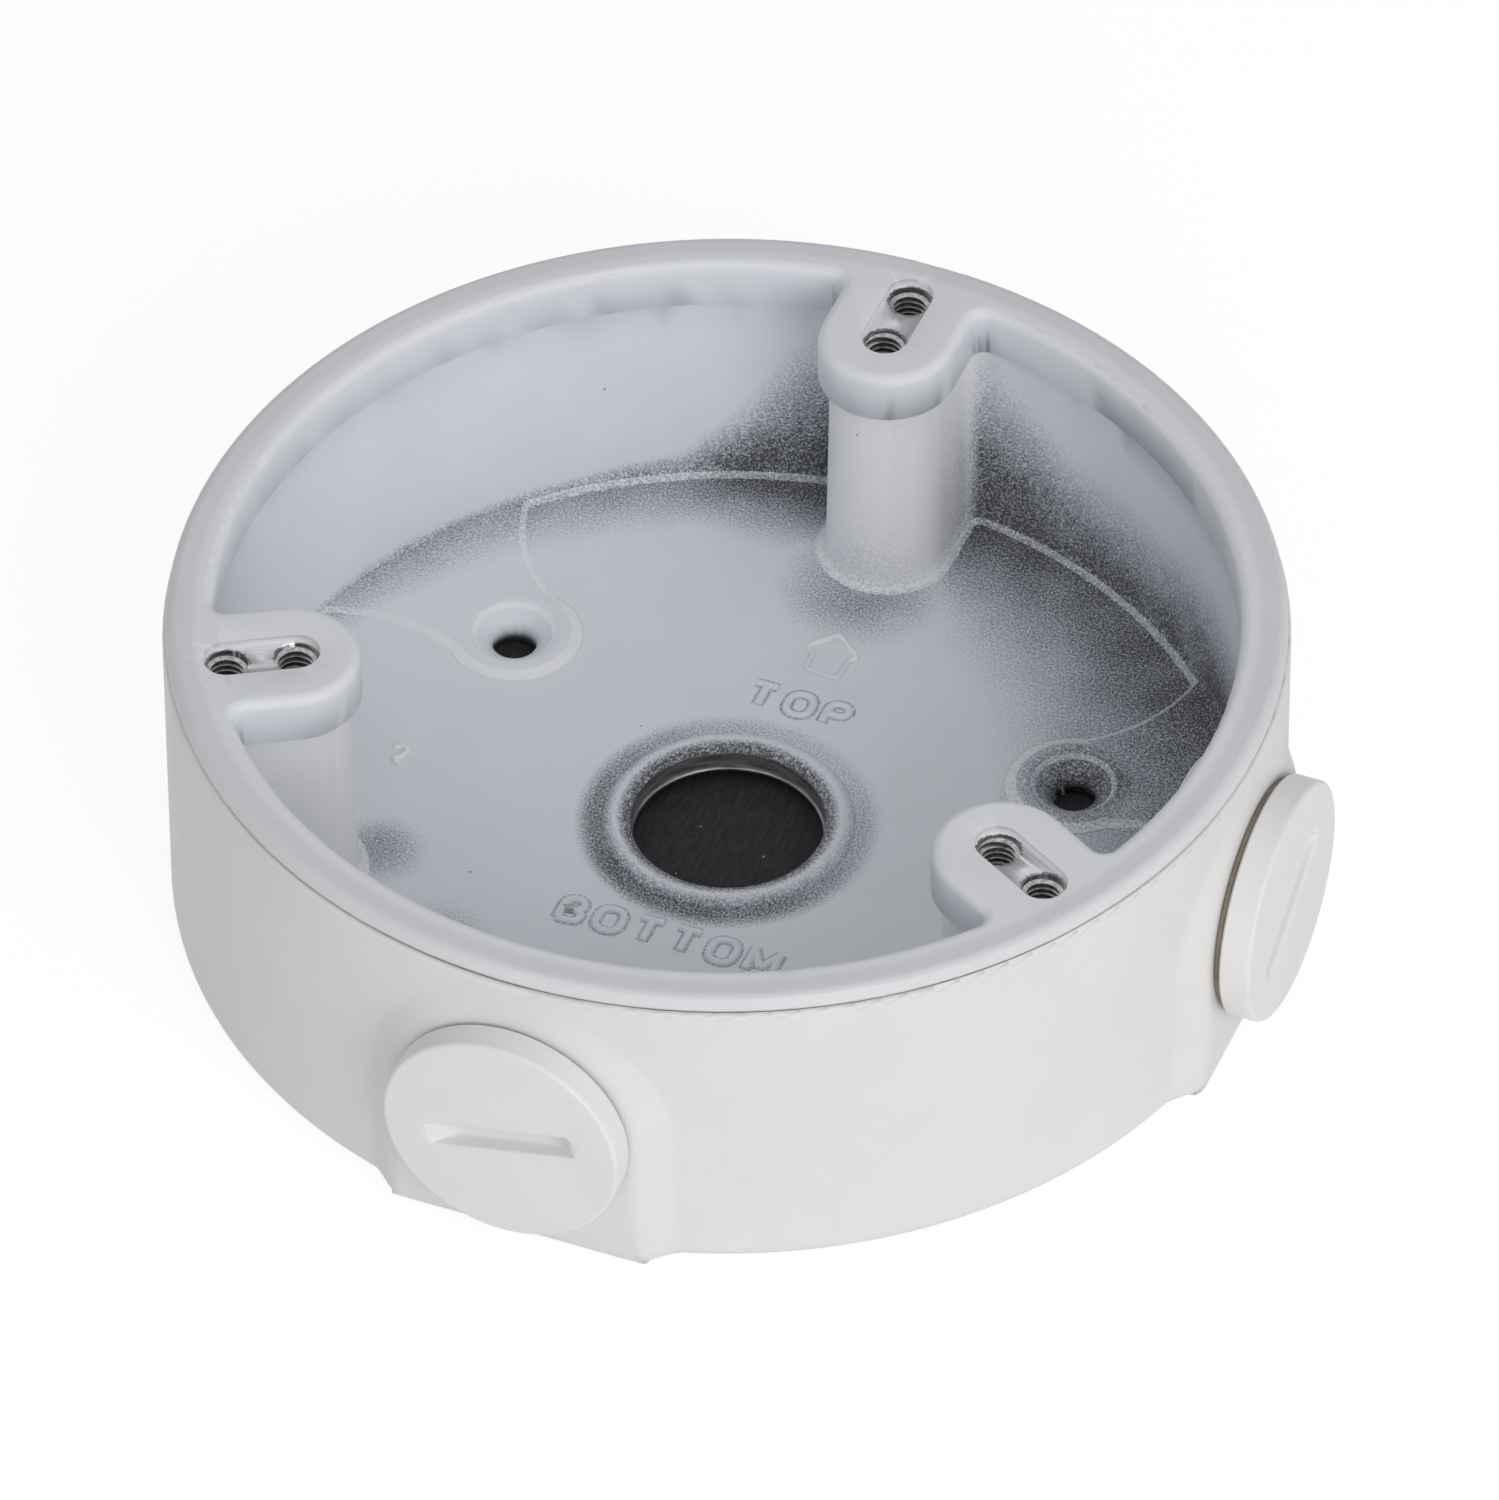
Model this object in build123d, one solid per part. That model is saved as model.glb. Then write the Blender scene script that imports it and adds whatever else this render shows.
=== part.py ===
"""Round die-cast junction box that a dome or bullet camera screws to.

Millimetres, +Z up. The box lies on its back: the wall side is at z = 0 and
the open mouth faces +Z. The Z axis is the centre of the round wall.
"""
import math
import os

from build123d import *

os.makedirs("parts", exist_ok=True)

# Sizes that drive the model
WALL_R = 55.0                          # outside radius of the round wall
HEIGHT = 34.8                          # base to the top of the rim
BASE_ROUND = 1.8                       # outer edge round at the base
GROOVE_DROP = 1.45                     # fine groove, below the top of the rim
GROOVE_DEPTH = 0.9
GROOVE_GAP = 0.35                      # height of its opening
SHOULDER_ROUND = 0.6                   # edge round of the wall under the groove
SHOULDER_Z = HEIGHT - GROOVE_DROP
RIM_STEP = 0.3                         # the rim stands in from the wall
RIM_R = WALL_R - RIM_STEP
RIM_ROUND = 1.2                        # outer top edge round
RIM_WIDTH = 4.6                        # wall thickness at the rim band
MOUTH_R = RIM_R - RIM_WIDTH
MOUTH_ROUND = 1.1                      # inner top edge round
BAND_DEEP = 5.3                        # depth of the rim band and of the screw pads
BAND_Z = HEIGHT - BAND_DEEP
WALL_THICK = 3.7                       # wall just under the band
CAVITY_R = WALL_R - WALL_THICK
CASTING_DRAFT = 0.4                    # the wall is this much thicker at the floor
CAVITY_FLOOR_R = CAVITY_R - CASTING_DRAFT
FLOOR_Z = 6.0                          # top of the floor
FLOOR_ROUND = 1.3                      # round between floor and walls
POCKET_WALL = 4.5                      # wall round the pocket in the back
RECESS_R = WALL_R - POCKET_WALL        # pocket in the back that holds the foam pad
RECESS_Z = 2.8                         # depth of that pocket
BURY = 1.0                             # how far raised details reach into the casting
CUT_OVER = 0.5                         # how far cutters reach past a face

# Screw posts, three round the mouth
POST_ANGLES = (90.0, 210.0, 330.0)
PAD_REACH = 12.2                       # wall to the centre of the rounded inner end
PAD_CENTRE_R = WALL_R - PAD_REACH
PAD_HALF = 6.9                         # half the width of the pad at the top
PAD_LIP = 1.2                          # the pad overhangs the post by this much
POST_HALF = PAD_HALF - PAD_LIP
PAD_CORNER = 1.4                       # plan round where a pad runs into the rim
POST_CORNER = 2.2                      # plan round where a post runs into the wall
SLOT_DEPTH = 0.9                       # obround recess in the top of each pad
TAPPED_HOLE_R = 2.05                   # M4 major radius, the thread itself is in the scene
SLOT_HALF = TAPPED_HOLE_R + 0.3
TAPPED_IN_R = PAD_CENTRE_R - 0.6       # inner ring of M4 holes
TAPPED_STEP = 6.8
TAPPED_OUT_R = TAPPED_IN_R + TAPPED_STEP   # outer ring of M4 holes
TAPPED_DEPTH = 12.0
DRILL_TIP = 1.0                        # length of the tapered end of a tapped hole
DRILL_TIP_R = 0.4

# Wall screw bosses on the floor
WALL_HOLE_ANGLES = (30.0, 150.0, 270.0)
WALL_HOLE_R = 34.5                     # distance from the centre
BORE_R = 2.27                          # screw hole radius
DISH_DEPTH = 1.7
DISH_WIDE = 2.03
DISH_R = BORE_R + DISH_WIDE            # rim radius of the countersunk dish
BOSS_RISE = 0.55                       # top of the boss above the floor
BOSS_TOP_Z = FLOOR_Z + BOSS_RISE
DISH_TOP_Z = BOSS_TOP_Z - 0.08
BOSS_WIDE = 2.6                        # dish rim to the foot of the boss
BOSS_FOOT_R = DISH_R + BOSS_WIDE
FOOT_LIFT = 0.02                       # raised details leave the floor here
FAN_RISE = 0.45                        # fan-shaped pad from the boss to the wall
FAN_Z = FLOOR_Z + FAN_RISE
FAN_SLOPE = 0.9                        # width of its sloping sides
FAN_START = WALL_HOLE_R + 2.4
FAN_END = CAVITY_FLOOR_R - 0.5
FAN_SIDE = ((0.0, 5.6), (0.193, 6.1), (0.444, 7.4), (0.689, 9.6), (1.0, 14.2))

# Cable inlet in the floor, with its rounded collar
INLET_R = 9.65
INLET_EDGE_Z = FLOOR_Z + 0.2
INLET_LEDGE_R = INLET_R - 0.2          # thin ledge at the lower edge of the hole
INLET_LEDGE_Z = RECESS_Z + 1.45
INLET_RELIEF_R = INLET_R + 1.95        # shallow relief under the collar
INLET_RELIEF_Z = RECESS_Z + 1.05
COLLAR_TOP_R = INLET_R + 1.55
COLLAR_TOP_Z = FLOOR_Z + 0.8
COLLAR_WIDE = 2.95
COLLAR_FOOT_R = INLET_R + COLLAR_WIDE

# Side entries with their screw plugs, at -Y and at +X
THREAD_R = 10.48                       # G 1/2 major radius in the housing
THREAD_GAP = 0.05
PLUG_R = THREAD_R - THREAD_GAP         # the same on the plug
HEAD_LIP = 1.67                        # the head covers the entry by this much
HEAD_R = THREAD_R + HEAD_LIP
HEAD_THICK = 3.2
HEAD_ROUND = 0.45
ENTRY_DROP = 1.4                       # entry axis below the middle of the height
ENTRY_Z = HEIGHT / 2 - ENTRY_DROP
ENTRY_PROUD = 0.25                     # flat face of the boss outside the round wall
ENTRY_FACE = WALL_R + ENTRY_PROUD
ENTRY_MARGIN = 1.25                    # boss round the head
ENTRY_HALF = HEAD_R + ENTRY_MARGIN     # half the width of the boss, and its arch radius
ENTRY_ROUND = 1.5                      # edge round of the boss face
ENTRY_DEEP = 12.0                      # the boss is drawn this far into the wall
ENTRY_DEPTH = 7.5                      # wall to the flat face inside the cavity
ENTRY_INNER_FACE = WALL_R - ENTRY_DEPTH
ENTRY_COLLAR = 1.52
ENTRY_INNER_R = THREAD_R + ENTRY_COLLAR
INNER_BOSS_BURY = 2.5                  # the inner boss ends this far inside the wall
INNER_BOSS_BACK = WALL_R - INNER_BOSS_BURY
SHANK_PROUD = 0.15
SHANK_LEN = ENTRY_FACE - ENTRY_INNER_FACE + SHANK_PROUD
SHANK_CHAMFER = 0.8
PLUG_WALL = 2.43
PLUG_HOLLOW_R = PLUG_R - PLUG_WALL
PLUG_WEB = 1.0
PLUG_HOLLOW_DEPTH = SHANK_LEN - PLUG_WEB
COIN_LEN = 15.6                        # coin slot length at the face
COIN_HALF = 1.25
COIN_DEPTH = 1.8
COIN_CORNER = 0.6                      # round where the ramped ends meet the slot's floor
FRONT_SEAL = 0.3                       # thickness of the squeezed seal at -Y
SIDE_SEAL = 0.7                        # thickness of the seal at +X
FRONT_TURN = 12.5                      # turn of the coin slot, anticlockwise from outside
SIDE_TURN = 30.0
SEAL_INSET = 0.55
SEAL_OUT_R = HEAD_R - SEAL_INSET
SEAL_GAP = 0.07
SEAL_IN_R = PLUG_R + SEAL_GAP

# Foam pad in the back
FOAM_GAP = 0.3
FOAM_R = RECESS_R - FOAM_GAP


def polar(r, angle, z=0.0):
    a = math.radians(angle)
    return (r * math.cos(a), r * math.sin(a), z)


def u_shape(half, centre_r, reach):
    """A pad outline along +X: round inner end, straight sides outwards."""
    ring = Pos(centre_r, 0) * Circle(half)
    bar = Pos((centre_r + reach) / 2, 0) * Rectangle(reach - centre_r, 2 * half)
    return ring + bar


def mouth_outline(radius, half, corner):
    """The opening seen from above: a circle less the three pads."""
    outline = Sketch() + Circle(radius)
    for a in POST_ANGLES:
        outline -= Rot(0, 0, a) * u_shape(half, PAD_CENTRE_R, WALL_R)
    sharp = [v for v in outline.vertices() if abs(math.hypot(v.X, v.Y) - radius) < 0.01]
    return fillet(sharp, corner)


# Outside of the box, turned about Z: base, wall, groove, rim, no cavity yet
groove_r = WALL_R - GROOVE_DEPTH
shoulder_r = WALL_R - SHOULDER_ROUND
groove_foot_z = SHOULDER_Z - GROOVE_GAP
with BuildPart() as turned:
    with BuildSketch(Plane.XZ):
        with BuildLine():
            Line((0, 0), (WALL_R - BASE_ROUND, 0))
            RadiusArc((WALL_R - BASE_ROUND, 0), (WALL_R, BASE_ROUND), -BASE_ROUND)
            Line((WALL_R, BASE_ROUND), (WALL_R, groove_foot_z - SHOULDER_ROUND))
            RadiusArc((WALL_R, groove_foot_z - SHOULDER_ROUND), (shoulder_r, groove_foot_z), -SHOULDER_ROUND)
            Line((shoulder_r, groove_foot_z), (groove_r, groove_foot_z))
            Line((groove_r, groove_foot_z), (groove_r, SHOULDER_Z))
            Line((groove_r, SHOULDER_Z), (RIM_R, SHOULDER_Z))
            Line((RIM_R, SHOULDER_Z), (RIM_R, HEIGHT - RIM_ROUND))
            RadiusArc((RIM_R, HEIGHT - RIM_ROUND), (RIM_R - RIM_ROUND, HEIGHT), -RIM_ROUND)
            Line((RIM_R - RIM_ROUND, HEIGHT), (0, HEIGHT))
            Line((0, HEIGHT), (0, 0))
        make_face()
    revolve(axis=Axis.Z)
outside = turned.part

# Tombstone boss for each side entry, drawn along +X
tomb = Pos(0, ENTRY_Z) * Circle(ENTRY_HALF)
tomb += Pos(0, ENTRY_Z / 2) * Rectangle(2 * ENTRY_HALF, ENTRY_Z)
tomb &= Pos(0, SHOULDER_Z / 2) * Rectangle(2 * WALL_R, SHOULDER_Z)
entry_plane = Plane(origin=(ENTRY_FACE, 0, 0), x_dir=(0, 1, 0), z_dir=(1, 0, 0))
entry_boss = extrude(entry_plane * tomb, -ENTRY_DEEP)
entry_edges = entry_boss.faces().sort_by(Axis.X)[-1].edges()
entry_boss = fillet(entry_edges, ENTRY_ROUND)
housing = outside + entry_boss + Rot(0, 0, -90) * entry_boss

# Cavity in two steps: the narrow mouth, and the wider room under the band
room_top = Pos(0, 0, BAND_Z) * mouth_outline(CAVITY_R, POST_HALF, POST_CORNER)
draft = math.degrees(math.atan((CAVITY_R - CAVITY_FLOOR_R) / (BAND_Z - FLOOR_Z)))
room = extrude(room_top, -(BAND_Z - FLOOR_Z), taper=draft)
room_floor = room.faces().sort_by(Axis.Z)[0].edges()
room = fillet(room_floor, FLOOR_ROUND)
mouth_plan = Pos(0, 0, BAND_Z - 0.01) * mouth_outline(MOUTH_R, PAD_HALF, PAD_CORNER)
housing -= extrude(mouth_plan, BAND_DEEP + CUT_OVER)
mouth_edge = housing.faces().sort_by(Axis.Z)[-1].inner_wires()[0].edges()
housing = fillet(mouth_edge, MOUTH_ROUND)
housing -= room

# Flat boss inside behind each entry
inner_boss = Pos(ENTRY_INNER_FACE, 0, ENTRY_Z) * Rot(0, 90, 0) * Cylinder(
    ENTRY_INNER_R, INNER_BOSS_BACK - ENTRY_INNER_FACE, align=(Align.CENTER, Align.CENTER, Align.MIN)
)
housing += inner_boss
housing += Rot(0, 0, -90) * inner_boss

# Wall screw boss: a soft ring with a dish, and a fan-shaped pad to the wall
with BuildPart() as ring_part:
    with BuildSketch(Plane.XZ):
        with BuildLine():
            Line((0, FLOOR_Z - BURY), (BOSS_FOOT_R, FLOOR_Z - BURY))
            Line((BOSS_FOOT_R, FLOOR_Z - BURY), (BOSS_FOOT_R, FLOOR_Z + FOOT_LIFT))
            Spline(
                [
                    (BOSS_FOOT_R, FLOOR_Z + FOOT_LIFT),
                    (BOSS_FOOT_R - 0.8, BOSS_TOP_Z - 0.23),
                    (BOSS_FOOT_R - 1.8, BOSS_TOP_Z),
                    (DISH_R, DISH_TOP_Z),
                ],
                tangents=[(-1, 0.1), (-1, -0.35)],
            )
            Line((DISH_R, DISH_TOP_Z), (0, DISH_TOP_Z))
            Line((0, DISH_TOP_Z), (0, FLOOR_Z - BURY))
        make_face()
    revolve(axis=Axis.Z)
ring_boss = Pos(WALL_HOLE_R, 0, 0) * ring_part.part

# The fan's sides slope, so it is drawn wider below the floor than at its top
buried_wide = FAN_SLOPE * (BURY + FAN_RISE) / FAN_RISE
with BuildPart() as fan_part:
    for fan_z, wide in ((FLOOR_Z - BURY, buried_wide), (FAN_Z, 0.0)):
        with BuildSketch(Plane.XY.offset(fan_z)):
            with BuildLine():
                fan_points = [(FAN_START + (FAN_END - FAN_START) * u, v + wide) for u, v in FAN_SIDE]
                side = Spline(fan_points)
                mirror(side, about=Plane.XZ)
                Line(fan_points[-1], (fan_points[-1][0], -fan_points[-1][1]))
                Line(fan_points[0], (fan_points[0][0], -fan_points[0][1]))
            make_face()
    loft(ruled=True)
fan = fan_part.part

for a in WALL_HOLE_ANGLES:
    housing += Rot(0, 0, a) * fan
    housing += Rot(0, 0, a) * ring_boss

# Collar round the cable inlet
with BuildPart() as collar_part:
    with BuildSketch(Plane.XZ):
        with BuildLine():
            Line((INLET_R, FLOOR_Z - BURY), (COLLAR_FOOT_R, FLOOR_Z - BURY))
            Line((COLLAR_FOOT_R, FLOOR_Z - BURY), (COLLAR_FOOT_R, FLOOR_Z + FOOT_LIFT))
            Spline(
                [
                    (COLLAR_FOOT_R, FLOOR_Z + FOOT_LIFT),
                    (COLLAR_FOOT_R - 0.6, FLOOR_Z + 0.55),
                    (COLLAR_TOP_R, COLLAR_TOP_Z),
                    (INLET_R + 0.5, COLLAR_TOP_Z - 0.2),
                    (INLET_R, INLET_EDGE_Z),
                ]
            )
            Line((INLET_R, INLET_EDGE_Z), (INLET_R, FLOOR_Z - BURY))
        make_face()
    revolve(axis=Axis.Z)
housing += collar_part.part

# Cable inlet, its ledge, the relief under it and the pocket for the foam
inlet_hole = Cylinder(INLET_R, FLOOR_Z, align=(Align.CENTER, Align.CENTER, Align.MIN))
housing -= Pos(0, 0, INLET_LEDGE_Z) * inlet_hole
housing -= Cylinder(INLET_LEDGE_R, FLOOR_Z, align=(Align.CENTER, Align.CENTER, Align.MIN))
housing -= Cylinder(INLET_RELIEF_R, INLET_RELIEF_Z, align=(Align.CENTER, Align.CENTER, Align.MIN))
housing -= Cylinder(RECESS_R, RECESS_Z, align=(Align.CENTER, Align.CENTER, Align.MIN))

# Wall screw holes with their dishes
for a in WALL_HOLE_ANGLES:
    centre = Pos(*polar(WALL_HOLE_R, a))
    housing -= centre * Cylinder(BORE_R, BOSS_TOP_Z + CUT_OVER, align=(Align.CENTER, Align.CENTER, Align.MIN))
    dish = Cone(BORE_R, DISH_R, DISH_DEPTH, align=(Align.CENTER, Align.CENTER, Align.MIN))
    housing -= centre * Pos(0, 0, DISH_TOP_Z - DISH_DEPTH) * dish
    clear = Cylinder(DISH_R, BOSS_RISE, align=(Align.CENTER, Align.CENTER, Align.MIN))
    housing -= centre * Pos(0, 0, DISH_TOP_Z) * clear

# Obround recess and two tapped holes in each screw pad
slot_z = HEIGHT - SLOT_DEPTH
for a in POST_ANGLES:
    slot_sketch = Pos((TAPPED_IN_R + TAPPED_OUT_R) / 2, 0) * SlotCenterToCenter(
        TAPPED_OUT_R - TAPPED_IN_R, 2 * SLOT_HALF
    )
    housing -= Rot(0, 0, a) * extrude(Pos(0, 0, slot_z) * slot_sketch, SLOT_DEPTH + CUT_OVER)
    for r in (TAPPED_IN_R, TAPPED_OUT_R):
        hole = Cylinder(TAPPED_HOLE_R, TAPPED_DEPTH + CUT_OVER, align=(Align.CENTER, Align.CENTER, Align.MIN))
        tip = Cone(DRILL_TIP_R, TAPPED_HOLE_R, DRILL_TIP, align=(Align.CENTER, Align.CENTER, Align.MAX))
        drill = Pos(*polar(r, a, slot_z - TAPPED_DEPTH)) * (hole + tip)
        housing -= drill

# Threaded side entries
bore_len = ENTRY_FACE - ENTRY_INNER_FACE + 2 * CUT_OVER
entry_bore = Pos(ENTRY_INNER_FACE - CUT_OVER, 0, ENTRY_Z) * Rot(0, 90, 0) * Cylinder(
    THREAD_R, bore_len, align=(Align.CENTER, Align.CENTER, Align.MIN)
)
housing -= entry_bore
housing -= Rot(0, 0, -90) * entry_bore

# Foam pad, a flat disc that fills the pocket
foam = Cylinder(FOAM_R, RECESS_Z, align=(Align.CENTER, Align.CENTER, Align.MIN))

# Coin slot cutter with ramped ends, drawn at z = 0 going down
with BuildPart() as coin_part:
    with BuildSketch(Plane.XZ):
        with BuildLine():
            Polyline(
                (-COIN_LEN / 2 - CUT_OVER, CUT_OVER),
                (COIN_LEN / 2 + CUT_OVER, CUT_OVER),
                (COIN_LEN / 2 - COIN_DEPTH, -COIN_DEPTH),
                (-COIN_LEN / 2 + COIN_DEPTH, -COIN_DEPTH),
                (-COIN_LEN / 2 - CUT_OVER, CUT_OVER),
            )
        make_face()
    extrude(amount=COIN_HALF, both=True)
coin_cut = fillet(coin_part.part.edges().filter_by(Axis.Y).sort_by(Axis.Z)[:2], COIN_CORNER)


def screw_plug(turn):
    """Plug along +Z with the back of its head at z = 0."""
    head = Cylinder(HEAD_R, HEAD_THICK, align=(Align.CENTER, Align.CENTER, Align.MIN))
    head = fillet(head.edges().sort_by(Axis.Z)[-1], HEAD_ROUND)
    shank = Pos(0, 0, -SHANK_LEN) * Cylinder(PLUG_R, SHANK_LEN, align=(Align.CENTER, Align.CENTER, Align.MIN))
    shank = chamfer(shank.edges().sort_by(Axis.Z)[0], SHANK_CHAMFER)
    hollow = Pos(0, 0, -SHANK_LEN) * Cylinder(
        PLUG_HOLLOW_R, PLUG_HOLLOW_DEPTH, align=(Align.CENTER, Align.CENTER, Align.MIN)
    )
    return head + shank - hollow - Pos(0, 0, HEAD_THICK) * Rot(0, 0, turn) * coin_cut


def seal(thick):
    """Flat rubber ring along +Z, its inner face at z = 0."""
    ring = Cylinder(SEAL_OUT_R, thick, align=(Align.CENTER, Align.CENTER, Align.MIN))
    return ring - Cylinder(SEAL_IN_R, thick, align=(Align.CENTER, Align.CENTER, Align.MIN))


# Seen from outside each entry, local x runs to the right and local y up
side_frame = Plane(origin=(ENTRY_FACE, 0, ENTRY_Z), x_dir=(0, 1, 0), z_dir=(1, 0, 0))
front_frame = Plane(origin=(0, -ENTRY_FACE, ENTRY_Z), x_dir=(1, 0, 0), z_dir=(0, -1, 0))

nodes = {
    "housing": housing,
    "foam_pad": foam,
    "front_plug": front_frame * Pos(0, 0, FRONT_SEAL) * screw_plug(FRONT_TURN),
    "front_seal": front_frame * seal(FRONT_SEAL),
    "side_plug": side_frame * Pos(0, 0, SIDE_SEAL) * screw_plug(SIDE_TURN),
    "side_seal": side_frame * seal(SIDE_SEAL),
}

for name, shape in nodes.items():
    solids = shape.solids()
    print(name, "solids", len(solids), "volume", round(shape.volume, 1), "box", shape.bounding_box())
    export_step(solids[0], "parts/" + name + ".step")
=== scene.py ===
"""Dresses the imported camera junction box: casting, threads, plugs, seals, foam and studio.

Everything is in metres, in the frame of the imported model. The box lies on its
back with the open mouth upwards, one entry faces -Y and the other faces +X.
"""
import math

import bmesh
import bpy
from bpy.props import FloatProperty, FloatVectorProperty, IntProperty, PointerProperty
from bpy.types import Operator, Panel, PropertyGroup
from mathutils import Matrix, Vector, noise


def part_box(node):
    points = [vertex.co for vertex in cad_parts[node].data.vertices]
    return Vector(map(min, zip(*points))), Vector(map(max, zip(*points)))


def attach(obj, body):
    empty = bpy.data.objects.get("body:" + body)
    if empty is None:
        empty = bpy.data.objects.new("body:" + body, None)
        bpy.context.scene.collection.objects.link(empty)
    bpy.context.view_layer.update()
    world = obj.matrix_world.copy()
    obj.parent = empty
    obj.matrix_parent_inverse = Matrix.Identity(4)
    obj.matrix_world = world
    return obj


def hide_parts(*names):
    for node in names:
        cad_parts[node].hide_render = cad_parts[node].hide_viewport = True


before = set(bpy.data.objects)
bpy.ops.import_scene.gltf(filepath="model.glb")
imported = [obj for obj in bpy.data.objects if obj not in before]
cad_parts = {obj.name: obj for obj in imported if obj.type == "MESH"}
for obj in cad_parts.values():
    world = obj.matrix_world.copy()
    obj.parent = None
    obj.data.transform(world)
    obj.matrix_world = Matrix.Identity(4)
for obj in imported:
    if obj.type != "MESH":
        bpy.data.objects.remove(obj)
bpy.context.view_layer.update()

bl_info = {
    "name": "Camera Junction Box",
    "version": (1, 0, 0),
    "blender": (4, 5, 0),
    "location": "3D View > Sidebar > Junction Box",
    "description": "Dresses a die-cast camera junction box with threads, screw plugs and finishes",
    "category": "Object",
}

MM = 0.001
RIM_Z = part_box("housing")[1][2]
WALL_R = 55.0 * MM
BASE_ROUND = 1.8 * MM
FLOOR_Z = 6.0 * MM
RECESS_Z = 2.8 * MM
SLOT_Z = RIM_Z - 0.9 * MM            # floor of the obround recess in each screw pad
TAPPED_RADII = (42.2 * MM, 49.0 * MM)    # the two tapped holes of a post, from the middle of the box
TAPPED_R = 2.05 * MM
POST_ANGLES = (90, 210, 330)
POST_CENTRE = 42.8 * MM              # centre of a post's rounded inner end
INLET_R = 9.65 * MM
ENTRY_FACE = 55.25 * MM              # flat face of an entry boss, from the middle of the box
ENTRY_Z = 16.0 * MM
ENTRY_HALF = 13.4 * MM               # half the width of the boss
ENTRY_ROUND = 1.5 * MM               # its edge round at the base
ENTRIES = ("front", "side")
SEALS = {"front": 0.3 * MM, "side": 0.7 * MM}    # how thick each ring lies under its head
SEAL_INNER_R = 10.5 * MM
SEAL_PLAY = 0.02 * MM                # keeps a ring just clear of the head that presses it
SLOT_TURNS = {"front": 12.5, "side": 30.0}       # degrees that each coin slot is turned
SHANK_END = -7.9 * MM                # inner end of a plug, from the face of its entry
WORD_SHADE_SHEET_HEIGHT = 0.02 * MM              # height of the thin sheet round the cast words that carries their painted shade
SHOULDER_Z = RIM_Z - 1.45 * MM       # top of the wall, under the groove
GROOVE_GAP = 0.35 * MM               # groove under the rim

# Pipe thread G 1/2, as ridges that point inwards in an entry and outwards on a plug
G_HALF_PITCH = 1.814 * MM
ENTRY_PHASE = 8.207 * MM
PLUG_PHASE = ENTRY_PHASE - G_HALF_PITCH / 2      # half a pitch on, so that ridges and grooves mesh
ENTRY_RIDGE = {
    "Helix Radius": 10.75 * MM, "Depth": -1.38 * MM, "Base Half Width": 0.86 * MM,
    "Crest Half Width": 0.17 * MM, "Turns": 3.2,
}
PLUG_RIDGE = {
    "Helix Radius": 9.0 * MM, "Depth": 1.36 * MM, "Base Half Width": 0.84 * MM,
    "Crest Half Width": 0.16 * MM, "Turns": 3.0,
}
TAPPED_RIDGE = {
    "Helix Radius": 2.3 * MM, "Depth": -0.66 * MM, "Base Half Width": 0.4 * MM,
    "Crest Half Width": 0.09 * MM, "Fade": 0.03, "Segments": 28, "Random Turn": 2 * math.pi,
    "Axis": (0, 0, 0),
}

# The photograph and the camera fitted to it
PHOTO_SIZE = (1499, 1500)
FOCAL_PIXELS = 16000.0
BOX_PIXEL = (727.56, 750.76)         # where the middle of the box shows
BOX_MIDDLE_Z = 15.6 * MM
CAMERA_DISTANCE = 1.5707
KEY_BEARING = math.radians(44)       # the light comes from the front right, as the camera does
KEY_TILT = math.radians(25)

# Short names for the nodes and sockets used most. A mix has its factor at 0 and its two colours at 6 and 7.
MATH = "ShaderNodeMath"
VECTOR = "ShaderNodeVectorMath"
RANGE = "ShaderNodeMapRange"
RAMP = "ShaderNodeValToRGB"
MIX = "ShaderNodeMix"
NOISE = "ShaderNodeTexNoise"
COMBINE = "ShaderNodeCombineXYZ"
NUMBER = "NodeSocketFloat"
WHOLE = "NodeSocketInt"
TURNING = "NodeSocketVector"


def linear(hex_colour):
    """An sRGB hex colour as a linear RGBA tuple."""
    text = hex_colour.lstrip("#")
    parts = [int(text[i:i + 2], 16) / 255 for i in (0, 2, 4)]
    return tuple(c / 12.92 if c <= 0.04045 else ((c + 0.055) / 1.055) ** 2.4 for c in parts) + (1.0,)


def colour_prop(name, description, hex_colour):
    return FloatVectorProperty(
        name=name, description=description, subtype="COLOR", size=4, min=0, max=1, default=linear(hex_colour)
    )


def length_prop(name, description, millimetres):
    return FloatProperty(
        name=name, description=description, subtype="DISTANCE", unit="LENGTH", default=millimetres * MM,
        precision=5
    )


# Settings that a user would change

class CastingSettings(PropertyGroup):
    paint: colour_prop("Paint", "Powder coat colour outside", "#E6E5E4")
    # The inside coat is drawn cooler than the outside as painted cool skylight
    cool_lit_inner_paint: colour_prop("Inner Paint", "Powder coat colour inside, thinner and cooler", "#E7E9EE")
    thin_paint: colour_prop("Thin Paint", "Coat where the dark casting begins to show", "#BEC1C9")
    bare_grey: colour_prop("Overspray", "Dark casting that shows between the grains of coat", "#54555A")
    metal: colour_prop("Cut Metal", "Drilled and tapped aluminium", "#C4C4C2")
    grain: length_prop("Grain", "Size of the powder grains", 0.24)
    blend: length_prop("Boss Blend", "How far the entry bosses flow out into the wall", 3.0)


class ThreadSettings(PropertyGroup):
    pitch: length_prop("Screw Pitch", "Pitch of the M4 threads in the posts", 0.7)
    turns: FloatProperty(name="Turns", description="Turns of thread in each tapped hole", default=13.0)
    taps: IntProperty(name="Seed", description="Where each tapped thread starts", default=4)


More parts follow.
